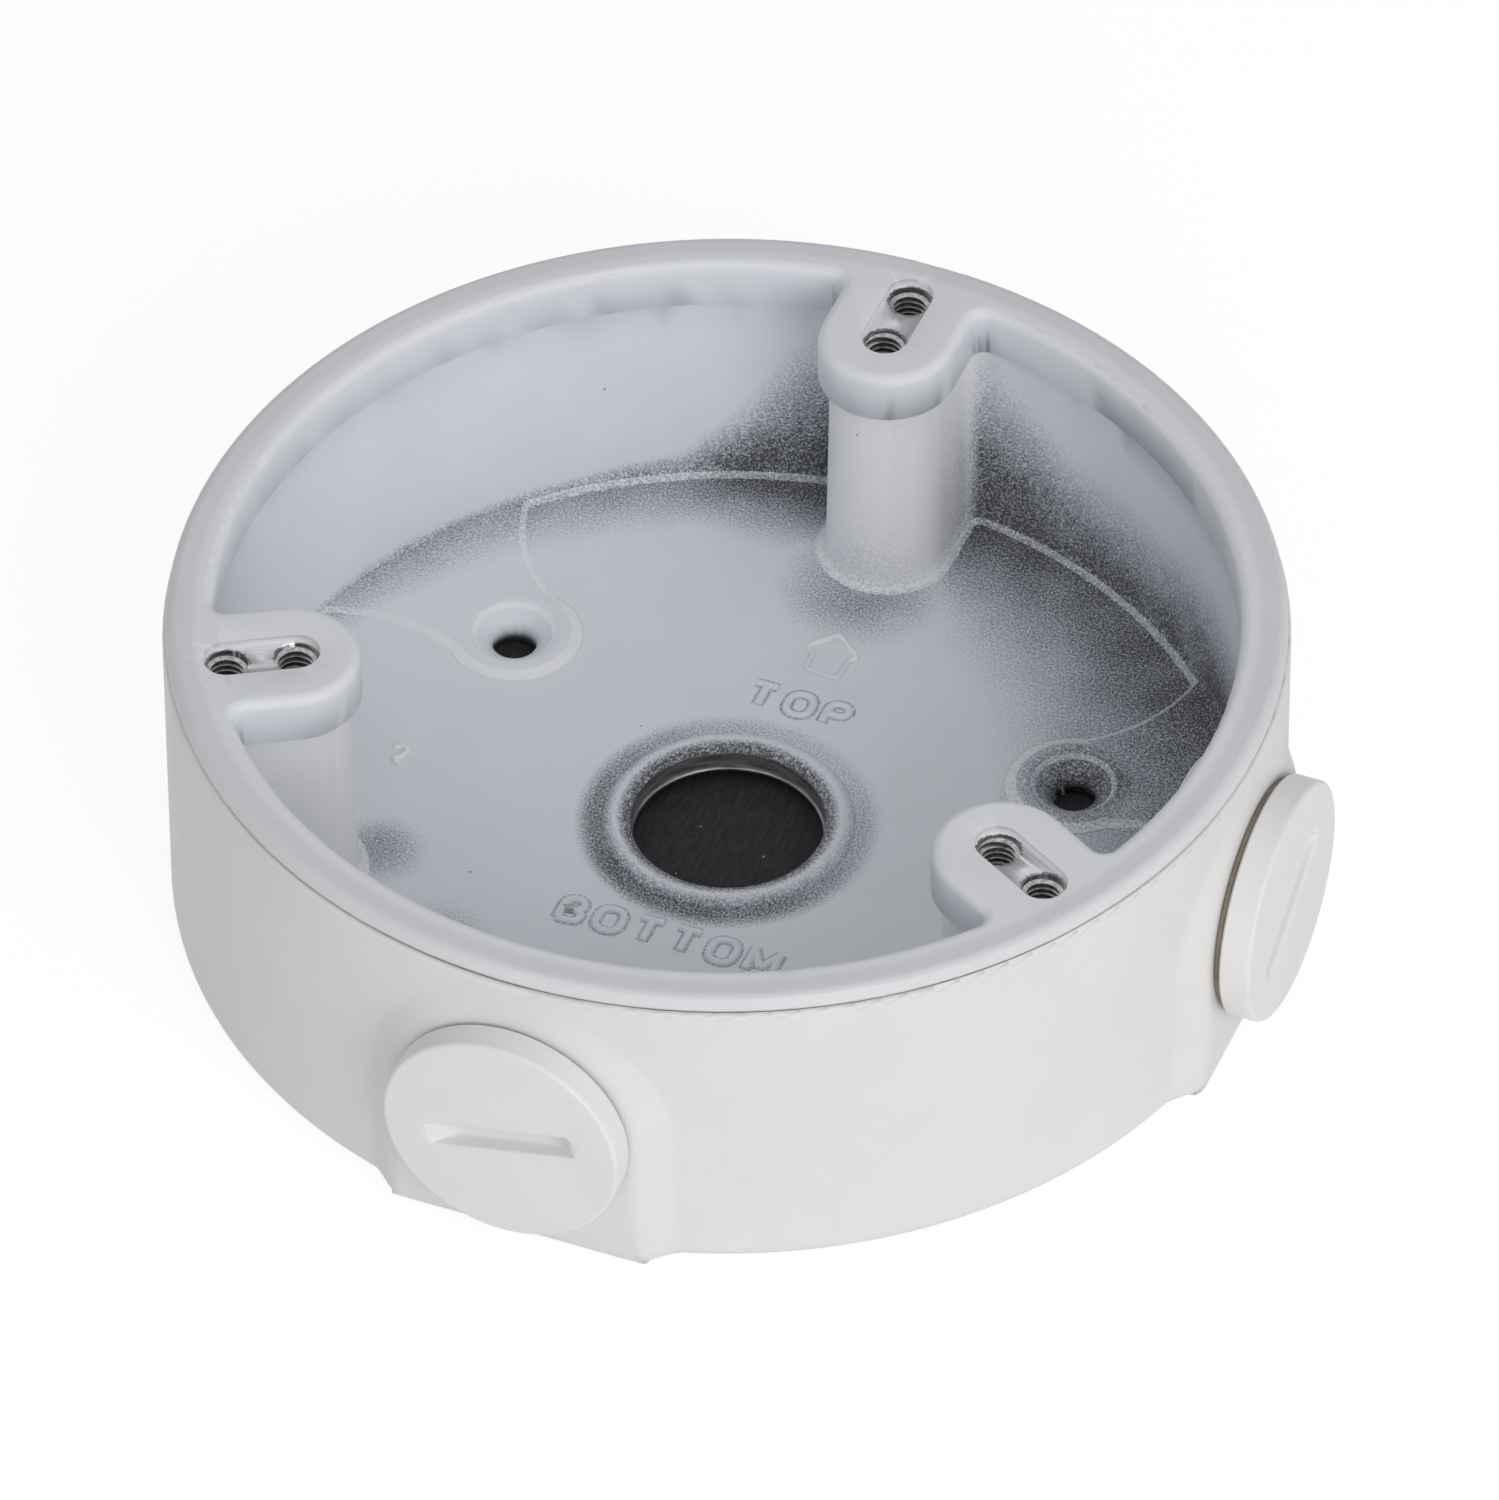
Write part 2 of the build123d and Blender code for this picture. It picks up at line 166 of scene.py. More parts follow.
class PlugSettings(PropertyGroup):
    plastic: colour_prop("Plastic", "Moulded plug colour", "#EAE9E8")
    head_radius: length_prop("Head Radius", "Radius of the plug head", 12.15)
    head_thickness: length_prop("Head Thickness", "Thickness of the plug head", 3.2)
    edge_round: length_prop("Edge Round", "Round of the head's outer edge", 0.45)
    slot_length: length_prop("Slot Length", "Length of the coin slot at the face", 15.6)
    slot_width: length_prop("Slot Width", "Width of the coin slot", 2.5)
    slot_depth: length_prop("Slot Depth", "Depth of the coin slot", 1.8)


class SealSettings(PropertyGroup):
    rubber: colour_prop("Rubber", "Grey rubber of the sealing rings", "#8E8574")
    radius: length_prop("Outside Radius", "Outside radius of the ring", 11.6)


class FoamSettings(PropertyGroup):
    foam: colour_prop("Foam", "Black closed-cell foam", "#18181A")
    radius: length_prop("Radius", "Radius of the foam pad", 50.2)
    thickness: length_prop("Thickness", "Thickness of the foam pad", 2.8)


class MarkSettings(PropertyGroup):
    height: length_prop("Height", "How far the cast words stand up from the floor", 0.34)
    stroke: length_prop("Stroke", "Width of the strokes of the cast words", 0.82)


class StageSettings(PropertyGroup):
    floor: colour_prop("Floor", "Plain pale floor", "#F4F4F3")
    elevation: FloatProperty(name="Elevation", description="Camera height angle", unit="ROTATION",
                             default=math.radians(43.55))
    azimuth: FloatProperty(name="Azimuth", description="Camera angle round the box", unit="ROTATION",
                           default=math.radians(21.97))


# Nodes and meshes

def add(tree, kind, inputs=(), out=0, stops=(), **settings):
    """Adds a node with its settings and links, and returns one output, or all of them for out=None.

    inputs are values, or sockets to link, by place or by name. stops are for a colour ramp.
    """
    made = tree.nodes.new(kind)
    for key, value in settings.items():
        setattr(made, key, value)
    for key, value in inputs.items() if isinstance(inputs, dict) else enumerate(inputs):
        if isinstance(value, bpy.types.NodeSocket):
            tree.links.new(value, made.inputs[key])
        else:
            made.inputs[key].default_value = value
    if stops:
        points = made.color_ramp.elements
        while len(points) < len(stops):
            points.new(1.0)
        for point, (place, colour) in zip(points, stops):
            point.position = place
            point.color = colour if len(colour) == 4 else tuple(colour) + (1.0,)
    if out is None or not len(made.outputs):
        return made.outputs
    return made.outputs[out]


def new_material(name):
    """A material with an empty tree, and the position on the object in millimetres."""
    material = bpy.data.materials.new(name)
    material.use_nodes = True
    tree = material.node_tree
    tree.nodes.clear()
    metres = add(tree, "ShaderNodeTexCoord", out="Object")
    place = add(tree, VECTOR, (metres, (1000.0, 1000.0, 1000.0)), operation="MULTIPLY")
    return material, tree, place


def end_material(tree, **inputs):
    """The material's shader and output. An underscore in a name stands for a space."""
    named = {key.replace("_", " "): value for key, value in inputs.items()}
    shader = add(tree, "ShaderNodeBsdfPrincipled", named)
    add(tree, "ShaderNodeOutputMaterial", {"Surface": shader})


def new_object(name, mesh):
    made = bpy.data.objects.new(name, mesh)
    bpy.context.scene.collection.objects.link(made)
    return made


def mesh_from(name, build):
    """A mesh from a function that fills a bmesh."""
    shape = bmesh.new()
    build(shape)
    bmesh.ops.remove_doubles(shape, verts=shape.verts, dist=1e-7)
    bmesh.ops.dissolve_degenerate(shape, edges=shape.edges, dist=1e-7)
    bmesh.ops.recalc_face_normals(shape, faces=shape.faces)
    mesh = bpy.data.meshes.new(name)
    shape.to_mesh(mesh)
    shape.free()
    return mesh


def soften(mesh, degrees):
    """Shades a mesh smooth, with edges over the given angle kept sharp."""
    mesh.shade_smooth()
    mesh.set_sharp_from_angle(angle=math.radians(degrees))


def piece(name, mesh, body, material, replaced=()):
    """Makes a finished piece that rides on a body."""
    made = new_object(name, mesh)
    mesh.materials.clear()
    mesh.materials.append(material)
    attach(made, body)
    if replaced:
        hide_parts(*replaced)
    return made


def geometry_tree(name, numbers):
    """A geometry node group with one named input for each (name, kind, default)."""
    tree = bpy.data.node_groups.new(name, "GeometryNodeTree")
    tree.interface.new_socket(name="Geometry", in_out="INPUT", socket_type="NodeSocketGeometry")
    for label, kind, default in numbers:
        socket = tree.interface.new_socket(name=label, in_out="INPUT", socket_type=kind)
        if default is not None:
            socket.default_value = default
    tree.interface.new_socket(name="Geometry", in_out="OUTPUT", socket_type="NodeSocketGeometry")
    return tree, add(tree, "NodeGroupInput", out=None)


def end_tree(tree, geometry, material):
    """Ends a geometry tree with plain geometry and its material."""
    real = add(tree, "GeometryNodeRealizeInstances", (geometry,))
    dressed = add(tree, "GeometryNodeSetMaterial", {"Geometry": real, "Material": material})
    add(tree, "NodeGroupOutput", (dressed,))


def grow(name, tree, values, points, edges=()):
    """Runs a geometry tree on a few points and edges and returns a plain mesh."""
    seed_mesh = bpy.data.meshes.new(name + "_seed")
    seed_mesh.from_pydata([tuple(p) for p in points], list(edges), [])
    seed = new_object(name + "_seed", seed_mesh)
    modifier = seed.modifiers.new(name, "NODES")
    modifier.node_group = tree
    for item in tree.interface.items_tree:
        if item.item_type == "SOCKET" and item.in_out == "INPUT" and item.name in values:
            modifier[item.identifier] = values[item.name]
    graph = bpy.context.evaluated_depsgraph_get()
    mesh = bpy.data.meshes.new_from_object(seed.evaluated_get(graph), depsgraph=graph)
    seed.modifiers.remove(modifier)
    bpy.data.objects.remove(seed)
    bpy.data.meshes.remove(seed_mesh)
    if not mesh.polygons:
        raise RuntimeError(name + ": the geometry tree made no faces")
    mesh.name = name
    return mesh


def entry_matrix(which):
    """The frame of a side entry: origin on its flat face, +Z outwards, X to the right seen from outside."""
    if which == "front":
        columns = (Vector((1, 0, 0)), Vector((0, 0, 1)), Vector((0, -1, 0)))
        origin = Vector((0, -ENTRY_FACE, ENTRY_Z))
    else:
        columns = (Vector((0, 1, 0)), Vector((0, 0, 1)), Vector((1, 0, 0)))
        origin = Vector((ENTRY_FACE, 0, ENTRY_Z))
    turned = Matrix(columns).transposed().to_4x4()
    return Matrix.Translation(origin) @ turned


def polar(radius, degrees, height=0.0):
    angle = math.radians(degrees)
    return Vector((radius * math.cos(angle), radius * math.sin(angle), height))


def lathe(shape, matrix, outline, around):
    """Turns (radius, height) points about the Z axis of a matrix and returns the rings."""
    rings = [[shape.verts.new(matrix @ polar(r, 360 * k / around, z)) for k in range(around)]
             for r, z in outline]
    for first, second in zip(rings, rings[1:]):
        for k in range(around):
            n = (k + 1) % around
            shape.faces.new((first[k], second[k], second[n], first[n]))
    return rings


def zip_loops(shape, inverse, outer, inner):
    """Fills the flat between two loops that lie one inside the other about the Z axis."""
    def by_turn(loop):
        placed = [(inverse @ vert.co, vert) for vert in loop]
        turns = sorted(((math.atan2(co.y, co.x), vert) for co, vert in placed), key=lambda pair: pair[0])
        return turns + [(turns[0][0] + 2 * math.pi, turns[0][1])]
    outer, inner = by_turn(outer), by_turn(inner)
    i = j = 0
    while i < len(outer) - 1 or j < len(inner) - 1:
        if j == len(inner) - 1 or (i < len(outer) - 1 and outer[i + 1][0] <= inner[j + 1][0]):
            shape.faces.new((outer[i][1], outer[i + 1][1], inner[j][1]))
            i += 1
        else:
            shape.faces.new((outer[i][1], inner[j + 1][1], inner[j][1]))
            j += 1


# Materials. Patterns are laid out in millimetres: a scale of 2.5 puts their features 0.4 mm apart.

# Coat in the corner of floor and wall, by the bearing from the back post, in degrees clockwise from above:
# how bare it is, and how many millimetres that runs over the floor and up the wall
CORNER_COAT = (
    (-180, 0.10, 3, 1.0), (-112, 0.16, 3, 1.0), (-80, 0.34, 4, 1.0), (-62, 0.46, 7, 1.2), (-40, 0.46, 9, 1.4),
    (-27, 0.60, 9, 3.0), (-20, 0.86, 11, 10), (-14, 1.00, 12, 19), (-6, 1.00, 12, 24), (8, 1.00, 13, 25),
    (20, 0.78, 20, 15), (34, 0.76, 23, 14), (48, 0.90, 25, 16), (62, 0.80, 25, 14), (82, 0.74, 24, 10),
    (104, 0.50, 12, 4.0), (130, 0.16, 4, 1.0), (180, 0.10, 3, 1.0),
)
# Soft patches of thin coat: x, y, z and radius in millimetres, and how bare they are
BARE_PATCHES = (
    (0.0, 36.5, 6.0, 10.0, 0.45), (-30.5, -16.5, 6.5, 5.5, 0.42), (31.0, 17.5, 6.0, 9.5, 0.80),
    (-7.5, 46.5, 12.0, 8.0, 0.5), (8.0, 47.0, 13.0, 9.0, 0.7), (-20.5, -26.5, 6.0, 7.0, 0.22),
)
# Places on the casting, in millimetres
FLOOR_MM = FLOOR_Z / MM
WALL_FOOT = (50.9, FLOOR_MM + 0.2)   # radius and height of the corner of floor and wall
COAT_REACH = 30.0                    # a share of 1 in the ramp of the corner
COLLAR_FOOT_R = 13.2
COLLAR_SLOPE = (10.0, 11.3)          # radii of the collar's inner slope
WORDS_R = 25.0                       # the cast words lie inside this radius
FANS_R = 26.0                        # the fans lie outside this one
POST_SIDE = (5.9, 7.4)               # from a post's middle line to its side, and clear of it
SPRAY_TOP = (26.0, 31.0)             # heights between which the thin coat ends
INNER_WALL = (51.6, 52.4)            # radii between which the inside of the box ends
GROOVE_R = (52.6, 54.45)             # bottom and mouth of the groove under the rim
POCKET_R = 50.6                      # pocket for the foam


def corner_dust(tree, place, z, radius, compass):
    """How bare the coat is in the corner of floor and wall, where little spray lands, and in soft patches."""
    foot_r, foot_z = WALL_FOOT
    shares = add(tree, RAMP, (compass,), stops=[
        (0.5 + turn / 360, (bare, over / COAT_REACH, up / COAT_REACH))
        for turn, bare, over, up in CORNER_COAT])
    bare, over, up = add(tree, "ShaderNodeSeparateColor", (shares,), out=None)
    floor_end = add(tree, MATH, (over, -COAT_REACH, foot_r), operation="MULTIPLY_ADD")
    wall_end = add(tree, MATH, (up, COAT_REACH, foot_z), operation="MULTIPLY_ADD")
    on_floor = add(tree, RANGE, {"Value": radius, "From Min": foot_r, "From Max": floor_end, "To Min": 1.0,
                                 "To Max": 0.0}, interpolation_type="SMOOTHSTEP")
    on_wall = add(tree, RANGE, {"Value": z, "From Min": foot_z, "From Max": wall_end, "To Min": 1.0,
                                "To Max": 0.0}, interpolation_type="SMOOTHSTEP")
    both = add(tree, MATH, (on_floor, on_wall), operation="MULTIPLY")
    coat_darkening = add(tree, MATH, (both, bare), operation="MULTIPLY")
    for px, py, pz, wide, strength in BARE_PATCHES:
        away = add(tree, VECTOR, (place, (px, py, pz)), out="Value", operation="DISTANCE")
        patch = add(tree, RANGE, {"Value": away, "From Min": wide * 0.2, "From Max": wide, "To Min": strength,
                                  "To Max": 0.0}, interpolation_type="SMOOTHSTEP")
        coat_darkening = add(tree, MATH, (coat_darkening, patch), operation="MAXIMUM")
    return coat_darkening


def collar_dust_and_shade(tree, radius, angle):
    """How bare the coat is on the collar's inner slope, and a darker speckled ring at its foot that is partly
    painted shade.
    """
    off_foot = add(tree, MATH, (radius, COLLAR_FOOT_R), operation="SUBTRACT")
    off_foot = add(tree, MATH, (off_foot,), operation="ABSOLUTE")
    foot = add(tree, RANGE, {"Value": off_foot, "From Min": 0.1, "From Max": 2.3, "To Min": 1.0,
                             "To Max": 0.0}, interpolation_type="SMOOTHSTEP")
    # The painted shade and speckle at the foot are strongest towards the front, a little to the left
    turned = add(tree, MATH, (angle, math.radians(160)), operation="ADD")
    turned = add(tree, MATH, (turned,), operation="COSINE")
    share = add(tree, MATH, (turned, 0.3, 0.5), operation="MULTIPLY_ADD")
    foot = add(tree, MATH, (foot, share), operation="MULTIPLY")
    inner, outer = COLLAR_SLOPE
    slope = add(tree, RANGE, {"Value": radius, "From Min": inner, "From Max": outer, "To Min": 0.8,
                              "To Max": 0.0}, interpolation_type="SMOOTHSTEP")
    return add(tree, MATH, (foot, slope), operation="MAXIMUM")


def painted_word_shade(tree, z, radius):
    """Painted shade round the cast words: a darker, speckled coat on the thin sheets under them, a hair above
    the floor.
    """
    hair = WORD_SHADE_SHEET_HEIGHT / MM
    foot = add(tree, MATH, (z, FLOOR_MM + hair * 0.6, hair * 0.5), operation="COMPARE")
    by_words = add(tree, MATH, (radius, WORDS_R), operation="LESS_THAN")
    foot = add(tree, MATH, (foot, by_words), operation="MULTIPLY")
    return add(tree, MATH, (foot, 0.34), operation="MULTIPLY")


def post_place(tree, radius, compass):
    """Places along and across the nearest post, so that the three posts are found at once."""
    third = add(tree, MATH, (compass, 3.0), operation="MULTIPLY")
    third = add(tree, MATH, (third,), operation="FRACT")
    third = add(tree, MATH, (third, 2 * math.pi / 3, -math.pi / 3), operation="MULTIPLY_ADD")
    ahead = add(tree, MATH, (third,), operation="COSINE")
    aside = add(tree, MATH, (third,), operation="SINE")
    along = add(tree, MATH, (radius, ahead), operation="MULTIPLY")
    across = add(tree, MATH, (radius, aside), operation="MULTIPLY")
    return along, across


def room_masks(tree, z, radius, along, across):
    """Masks for the inside of the box below the pads, for inside the wall, and for clear of the posts."""
    # Distance from the post's middle line, which ends at the centre of its rounded end
    short = add(tree, MATH, (POST_CENTRE / MM, along), operation="SUBTRACT")
    short = add(tree, MATH, (short, 0.0), operation="MAXIMUM")
    beside = add(tree, COMBINE, (short, across))
    beside = add(tree, VECTOR, (beside,), out="Value", operation="LENGTH")
    off_post = add(tree, RANGE, {"Value": beside, "From Min": POST_SIDE[0], "From Max": POST_SIDE[1],
                                 "To Min": 0.1, "To Max": 1.0}, interpolation_type="SMOOTHSTEP")
    low = add(tree, RANGE, {"Value": z, "From Min": SPRAY_TOP[0], "From Max": SPRAY_TOP[1], "To Min": 1.0,
                            "To Max": 0.0}, interpolation_type="SMOOTHSTEP")
    within = add(tree, RANGE, {"Value": radius, "From Min": INNER_WALL[0], "From Max": INNER_WALL[1],
                               "To Min": 1.0, "To Max": 0.0}, interpolation_type="SMOOTHSTEP")
    above = add(tree, MATH, (z, RECESS_Z / MM + 0.2), operation="GREATER_THAN")
    room = add(tree, MATH, (low, within), operation="MULTIPLY")
    room = add(tree, MATH, (room, above), operation="MULTIPLY")
    return room, within, off_post


def cut_mask(tree, place, z, radius, along, across):
    """Where bare metal shows: tapped holes with a ragged mouth, the bore of the inlet, behind the floor."""
    rough_edge = add(tree, NOISE, {"Vector": place, "Scale": 2.2, "Detail": 2.0})
    ragged = add(tree, MATH, (rough_edge, 0.9, -0.45), operation="MULTIPLY_ADD")
    here = add(tree, COMBINE, (along, across))
    inner, outer = [add(tree, VECTOR, (here, (hole / MM, 0.0, 0.0)), out="Value", operation="DISTANCE")
                    for hole in TAPPED_RADII]
    nearest = add(tree, MATH, (inner, outer), operation="MINIMUM")
    mouth = add(tree, MATH, (nearest, ragged), operation="ADD")
    mouth = add(tree, MATH, (mouth, TAPPED_R / MM + 0.25), operation="LESS_THAN")
    deep = add(tree, MATH, (z, SLOT_Z / MM + 0.05), operation="LESS_THAN")
    tapped = add(tree, MATH, (mouth, deep), operation="MULTIPLY")
    in_bore = add(tree, MATH, (radius, INLET_R / MM + 0.02), operation="LESS_THAN")
    under_edge = add(tree, MATH, (z, FLOOR_MM + 0.12), operation="LESS_THAN")
    inlet = add(tree, MATH, (in_bore, under_edge), operation="MULTIPLY")
    behind = add(tree, MATH, (z, RECESS_Z / MM + 0.02), operation="LESS_THAN")
    in_pocket = add(tree, MATH, (radius, POCKET_R), operation="LESS_THAN")
    pocket = add(tree, MATH, (behind, in_pocket), operation="MULTIPLY")
    cut = add(tree, MATH, (tapped, inlet), operation="MAXIMUM")
    return add(tree, MATH, (cut, pocket), operation="MAXIMUM")


def powder_coat(settings):
    """Polyester powder coat on die-cast aluminium, sprayed from the mouth.

    The eye sees a satin white with fine orange peel. Deep in the box the coat
    is thin, so the dark casting shows between the grains in bluish speckles.
    """
    material, tree, place = new_material("powder_coated_die_casting")
    x, y, z = add(tree, "ShaderNodeSeparateXYZ", (place,), out=None)
    flat = add(tree, VECTOR, (place, (1.0, 1.0, 0.0)), operation="MULTIPLY")
    radius = add(tree, VECTOR, (flat,), out="Value", operation="LENGTH")
    angle = add(tree, MATH, (x, y), operation="ARCTAN2")
    compass = add(tree, MATH, (angle, 0.5 / math.pi, 0.5), operation="MULTIPLY_ADD")
    along, across = post_place(tree, radius, compass)

    # The darkening is overspray, plus painted shade at the collar's foot and round the cast words
    coat_darkening = corner_dust(tree, place, z, radius, compass)
    for other in (collar_dust_and_shade(tree, radius, angle), painted_word_shade(tree, z, radius)):
        coat_darkening = add(tree, MATH, (coat_darkening, other), operation="MAXIMUM")
    room, within, off_post = room_masks(tree, z, radius, along, across)
    coat_darkening = add(tree, MATH, (coat_darkening, room), operation="MULTIPLY")
    coat_darkening = add(tree, MATH, (coat_darkening, off_post), operation="MULTIPLY")
    # Painted highlight: a band just above the floor, on the sides of the fans and the foot of the wall, is
    # drawn in a bright clean coat with less speckle
    painted_edge_highlight = add(tree, MATH, (z, FLOOR_MM + 0.24, 0.2), operation="COMPARE")
    by_fans = add(tree, MATH, (radius, FANS_R), operation="GREATER_THAN")
    painted_edge_highlight = add(tree, MATH, (painted_edge_highlight, by_fans), operation="MULTIPLY")
    painted_edge_highlight = add(tree, MATH, (painted_edge_highlight, room), operation="MULTIPLY")
    highlight_speckle_cut = add(tree, MATH, (painted_edge_highlight, -0.6, 1.0), operation="MULTIPLY_ADD")
    coat_darkening = add(tree, MATH, (coat_darkening, highlight_speckle_cut), operation="MULTIPLY")

    # Powder grains, about a quarter of a millimetre, drawn a little coarse so that they show
    grains = add(tree, NOISE, {"Vector": place, "Scale": MM / settings.grain, "Detail": 1.0})
    clouds = add(tree, NOISE, {"Vector": place, "Scale": 0.2, "Detail": 2.0})
    uneven = add(tree, MATH, (clouds, 0.8, 0.6), operation="MULTIPLY_ADD")
    mean = add(tree, MATH, (coat_darkening, uneven), operation="MULTIPLY")
    fleck = add(tree, MATH, (grains, 2.9, -1.45), operation="MULTIPLY_ADD")
    loud = add(tree, MATH, (mean, 0.6), operation="POWER")
    level = add(tree, MATH, (fleck, loud, mean), operation="MULTIPLY_ADD", use_clamp=True)
    thin = tuple(settings.thin_paint)
    dark = tuple(settings.bare_grey)
    middle = tuple((a + b) / 2 for a, b in zip(thin, dark))
    # Outside paint, or the cooler inside paint that stands in for the cool light inside the box
    clear = add(tree, MIX, {0: within, 6: tuple(settings.paint), 7: tuple(settings.cool_lit_inner_paint)}, out=2,
                data_type="RGBA")
    # The posts get a clean bright coat, and the low edges get the same bright colour as a painted highlight
    on_post = add(tree, MATH, (1.0, off_post), operation="SUBTRACT")
    on_post = add(tree, MATH, (on_post, room), operation="MULTIPLY")
    clean_post_coat_and_edge_highlight = add(tree, MATH, (on_post, painted_edge_highlight), operation="MAXIMUM")
    clear = add(tree, MIX, {0: clean_post_coat_and_edge_highlight, 6: clear, 7: linear("#F2F3F5")}, out=2, data_type="RGBA")
    speckled = add(tree, RAMP, (level,), stops=[(0.0, thin), (0.3, thin), (0.62, middle), (1.0, dark)])
    start = add(tree, RANGE, {"Value": level, "From Min": 0.0, "From Max": 0.3})
    coat = add(tree, MIX, {0: start, 6: clear, 7: speckled}, out=2, data_type="RGBA")

    # Slow tone changes of the coat, and small dark pits about 4 mm apart inside
    slow = add(tree, NOISE, {"Vector": place, "Scale": 0.11, "Detail": 3.0})
    tone = add(tree, RAMP, (slow,), stops=[(0.3, (0.965, 0.965, 0.965)), (0.7, (1.0, 1.0, 1.0))])
    coat = add(tree, MIX, {0: 1.0, 6: coat, 7: tone}, out=2, data_type="RGBA", blend_type="MULTIPLY")
    cells = add(tree, "ShaderNodeTexVoronoi", {"Vector": place, "Scale": 0.24}, out=None)
    pick = add(tree, "ShaderNodeSeparateColor", (cells["Color"],))
    pit = add(tree, RANGE, {"Value": cells["Distance"], "From Min": 0.02, "From Max": 0.045, "To Min": 0.8,
                            "To Max": 0.0}, interpolation_type="SMOOTHSTEP")
    rare = add(tree, MATH, (pick, 0.72), operation="GREATER_THAN")
    pit = add(tree, MATH, (pit, rare), operation="MULTIPLY")
    pit = add(tree, MATH, (pit, room), operation="MULTIPLY")
    coat = add(tree, MIX, {0: pit, 6: coat, 7: linear("#4A4C50")}, out=2, data_type="RGBA")

    # Painted shade: the narrow groove under the rim is coloured dark so that it reads as a dark line
    half_gap = GROOVE_GAP / MM / 2
    painted_groove_shade = add(tree, MATH, (z, SHOULDER_Z / MM - half_gap, half_gap + 0.01), operation="COMPARE")
    within_mouth = add(tree, MATH, (radius, GROOVE_R[1]), operation="LESS_THAN")
    off_bottom = add(tree, MATH, (radius, GROOVE_R[0]), operation="GREATER_THAN")
    painted_groove_shade = add(tree, MATH, (painted_groove_shade, within_mouth), operation="MULTIPLY")
    painted_groove_shade = add(tree, MATH, (painted_groove_shade, off_bottom), operation="MULTIPLY")
    coat = add(tree, MIX, {0: painted_groove_shade, 6: coat, 7: linear("#5E5E5F")}, out=2, data_type="RGBA")
    # Painted shade: the top of the rim is multiplied by a cool grey, so it shows cooler and darker than the
    # sides
    lip = add(tree, MATH, (z, SHOULDER_Z / MM), operation="GREATER_THAN")
    off_room = add(tree, MATH, (1.0, within), operation="SUBTRACT")
    lip = add(tree, MATH, (lip, off_room), operation="MULTIPLY")
    coat = add(tree, MIX, {0: lip, 6: coat, 7: (0.93, 0.935, 0.975, 1.0)}, out=2, data_type="RGBA",
               blend_type="MULTIPLY")

    # Cut metal. Tool marks about 0.25 mm apart run round the bores, so they are stretched in x and y
    cut = cut_mask(tree, place, z, radius, along, across)
    turned = add(tree, VECTOR, (place, (0.25, 0.25, 4.0)), operation="MULTIPLY")
    lines = add(tree, NOISE, {"Vector": turned, "Scale": 1.0, "Detail": 2.0})
    metal = add(tree, RAMP, (lines,), stops=[(0.35, linear("#808183")), (0.65, tuple(settings.metal))])

    peel = add(tree, NOISE, {"Vector": place, "Scale": 1.2, "Detail": 1.0})
    rise = add(tree, MATH, (grains, coat_darkening), operation="MULTIPLY")
    height = add(tree, MATH, (peel, 0.4, rise), operation="MULTIPLY_ADD")
    rough = add(tree, MATH, (coat_darkening, 0.25, 0.52), operation="MULTIPLY_ADD")
    rough = add(tree, MATH, (cut, -0.2, rough), operation="MULTIPLY_ADD", use_clamp=True)
    end_material(
        tree, Base_Color=add(tree, MIX, {0: cut, 6: coat, 7: metal}, out=2, data_type="RGBA"),
        Metallic=add(tree, MATH, (cut, 0.9), operation="MULTIPLY"), Roughness=rough, IOR=1.5,
        Normal=add(tree, "ShaderNodeBump", {"Height": height, "Distance": 0.035 * MM}))
    return material


def cut_aluminium(settings):
    """Tapped die-cast aluminium: bright crests, dark between them, with fine tool marks."""
    material, tree, place = new_material("tapped_aluminium")
    marks = add(tree, NOISE, {"Vector": place, "Scale": 2.5, "Detail": 2.0})
    tone = add(tree, RAMP, (marks,), stops=[(0.3, linear("#8A8B8C")), (0.7, tuple(settings.metal))])
    fine = add(tree, NOISE, {"Vector": place, "Scale": 5.0})
    end_material(tree, Base_Color=tone, Metallic=0.9, Roughness=0.3,
                 Normal=add(tree, "ShaderNodeBump", {"Height": fine, "Distance": 0.012 * MM}))
    return material


def moulded_nylon(settings):
    """Injection-moulded white plastic with a fine spark-eroded texture: matt, and even in tone."""
    material, tree, place = new_material("moulded_white_plastic")
    base = tuple(settings.plastic)
    shade = tuple(c * 0.975 for c in base[:3])
    slow = add(tree, NOISE, {"Vector": place, "Scale": 0.16, "Detail": 3.0})
    tone = add(tree, RAMP, (slow,), stops=[(0.35, shade), (0.65, base)])
    # The real texture is about 0.05 mm across, and is drawn four times as coarse so that it shows
    fine = add(tree, NOISE, {"Vector": place, "Scale": 5.0, "Detail": 1.0})
    end_material(tree, Base_Color=tone, Roughness=0.46, IOR=1.5,
                 Normal=add(tree, "ShaderNodeBump", {"Height": fine, "Distance": 0.006 * MM}))
    return material


def moulded_rubber(settings):
    """Silicone sealing ring: dull grey with an olive cast and a little dust."""
    material, tree, place = new_material("moulded_seal_rubber")
    base = tuple(settings.rubber)
    dark = tuple(c * 0.75 for c in base[:3])
    dusty = add(tree, NOISE, {"Vector": place, "Scale": 0.8, "Detail": 3.0})
    tone = add(tree, RAMP, (dusty,), stops=[(0.35, dark), (0.65, base)])
    fine = add(tree, NOISE, {"Vector": place, "Scale": 3.3, "Detail": 2.0})
    end_material(tree, Base_Color=tone, Roughness=0.7, IOR=1.45,
                 Normal=add(tree, "ShaderNodeBump", {"Height": fine, "Distance": 0.02 * MM}))
    return material


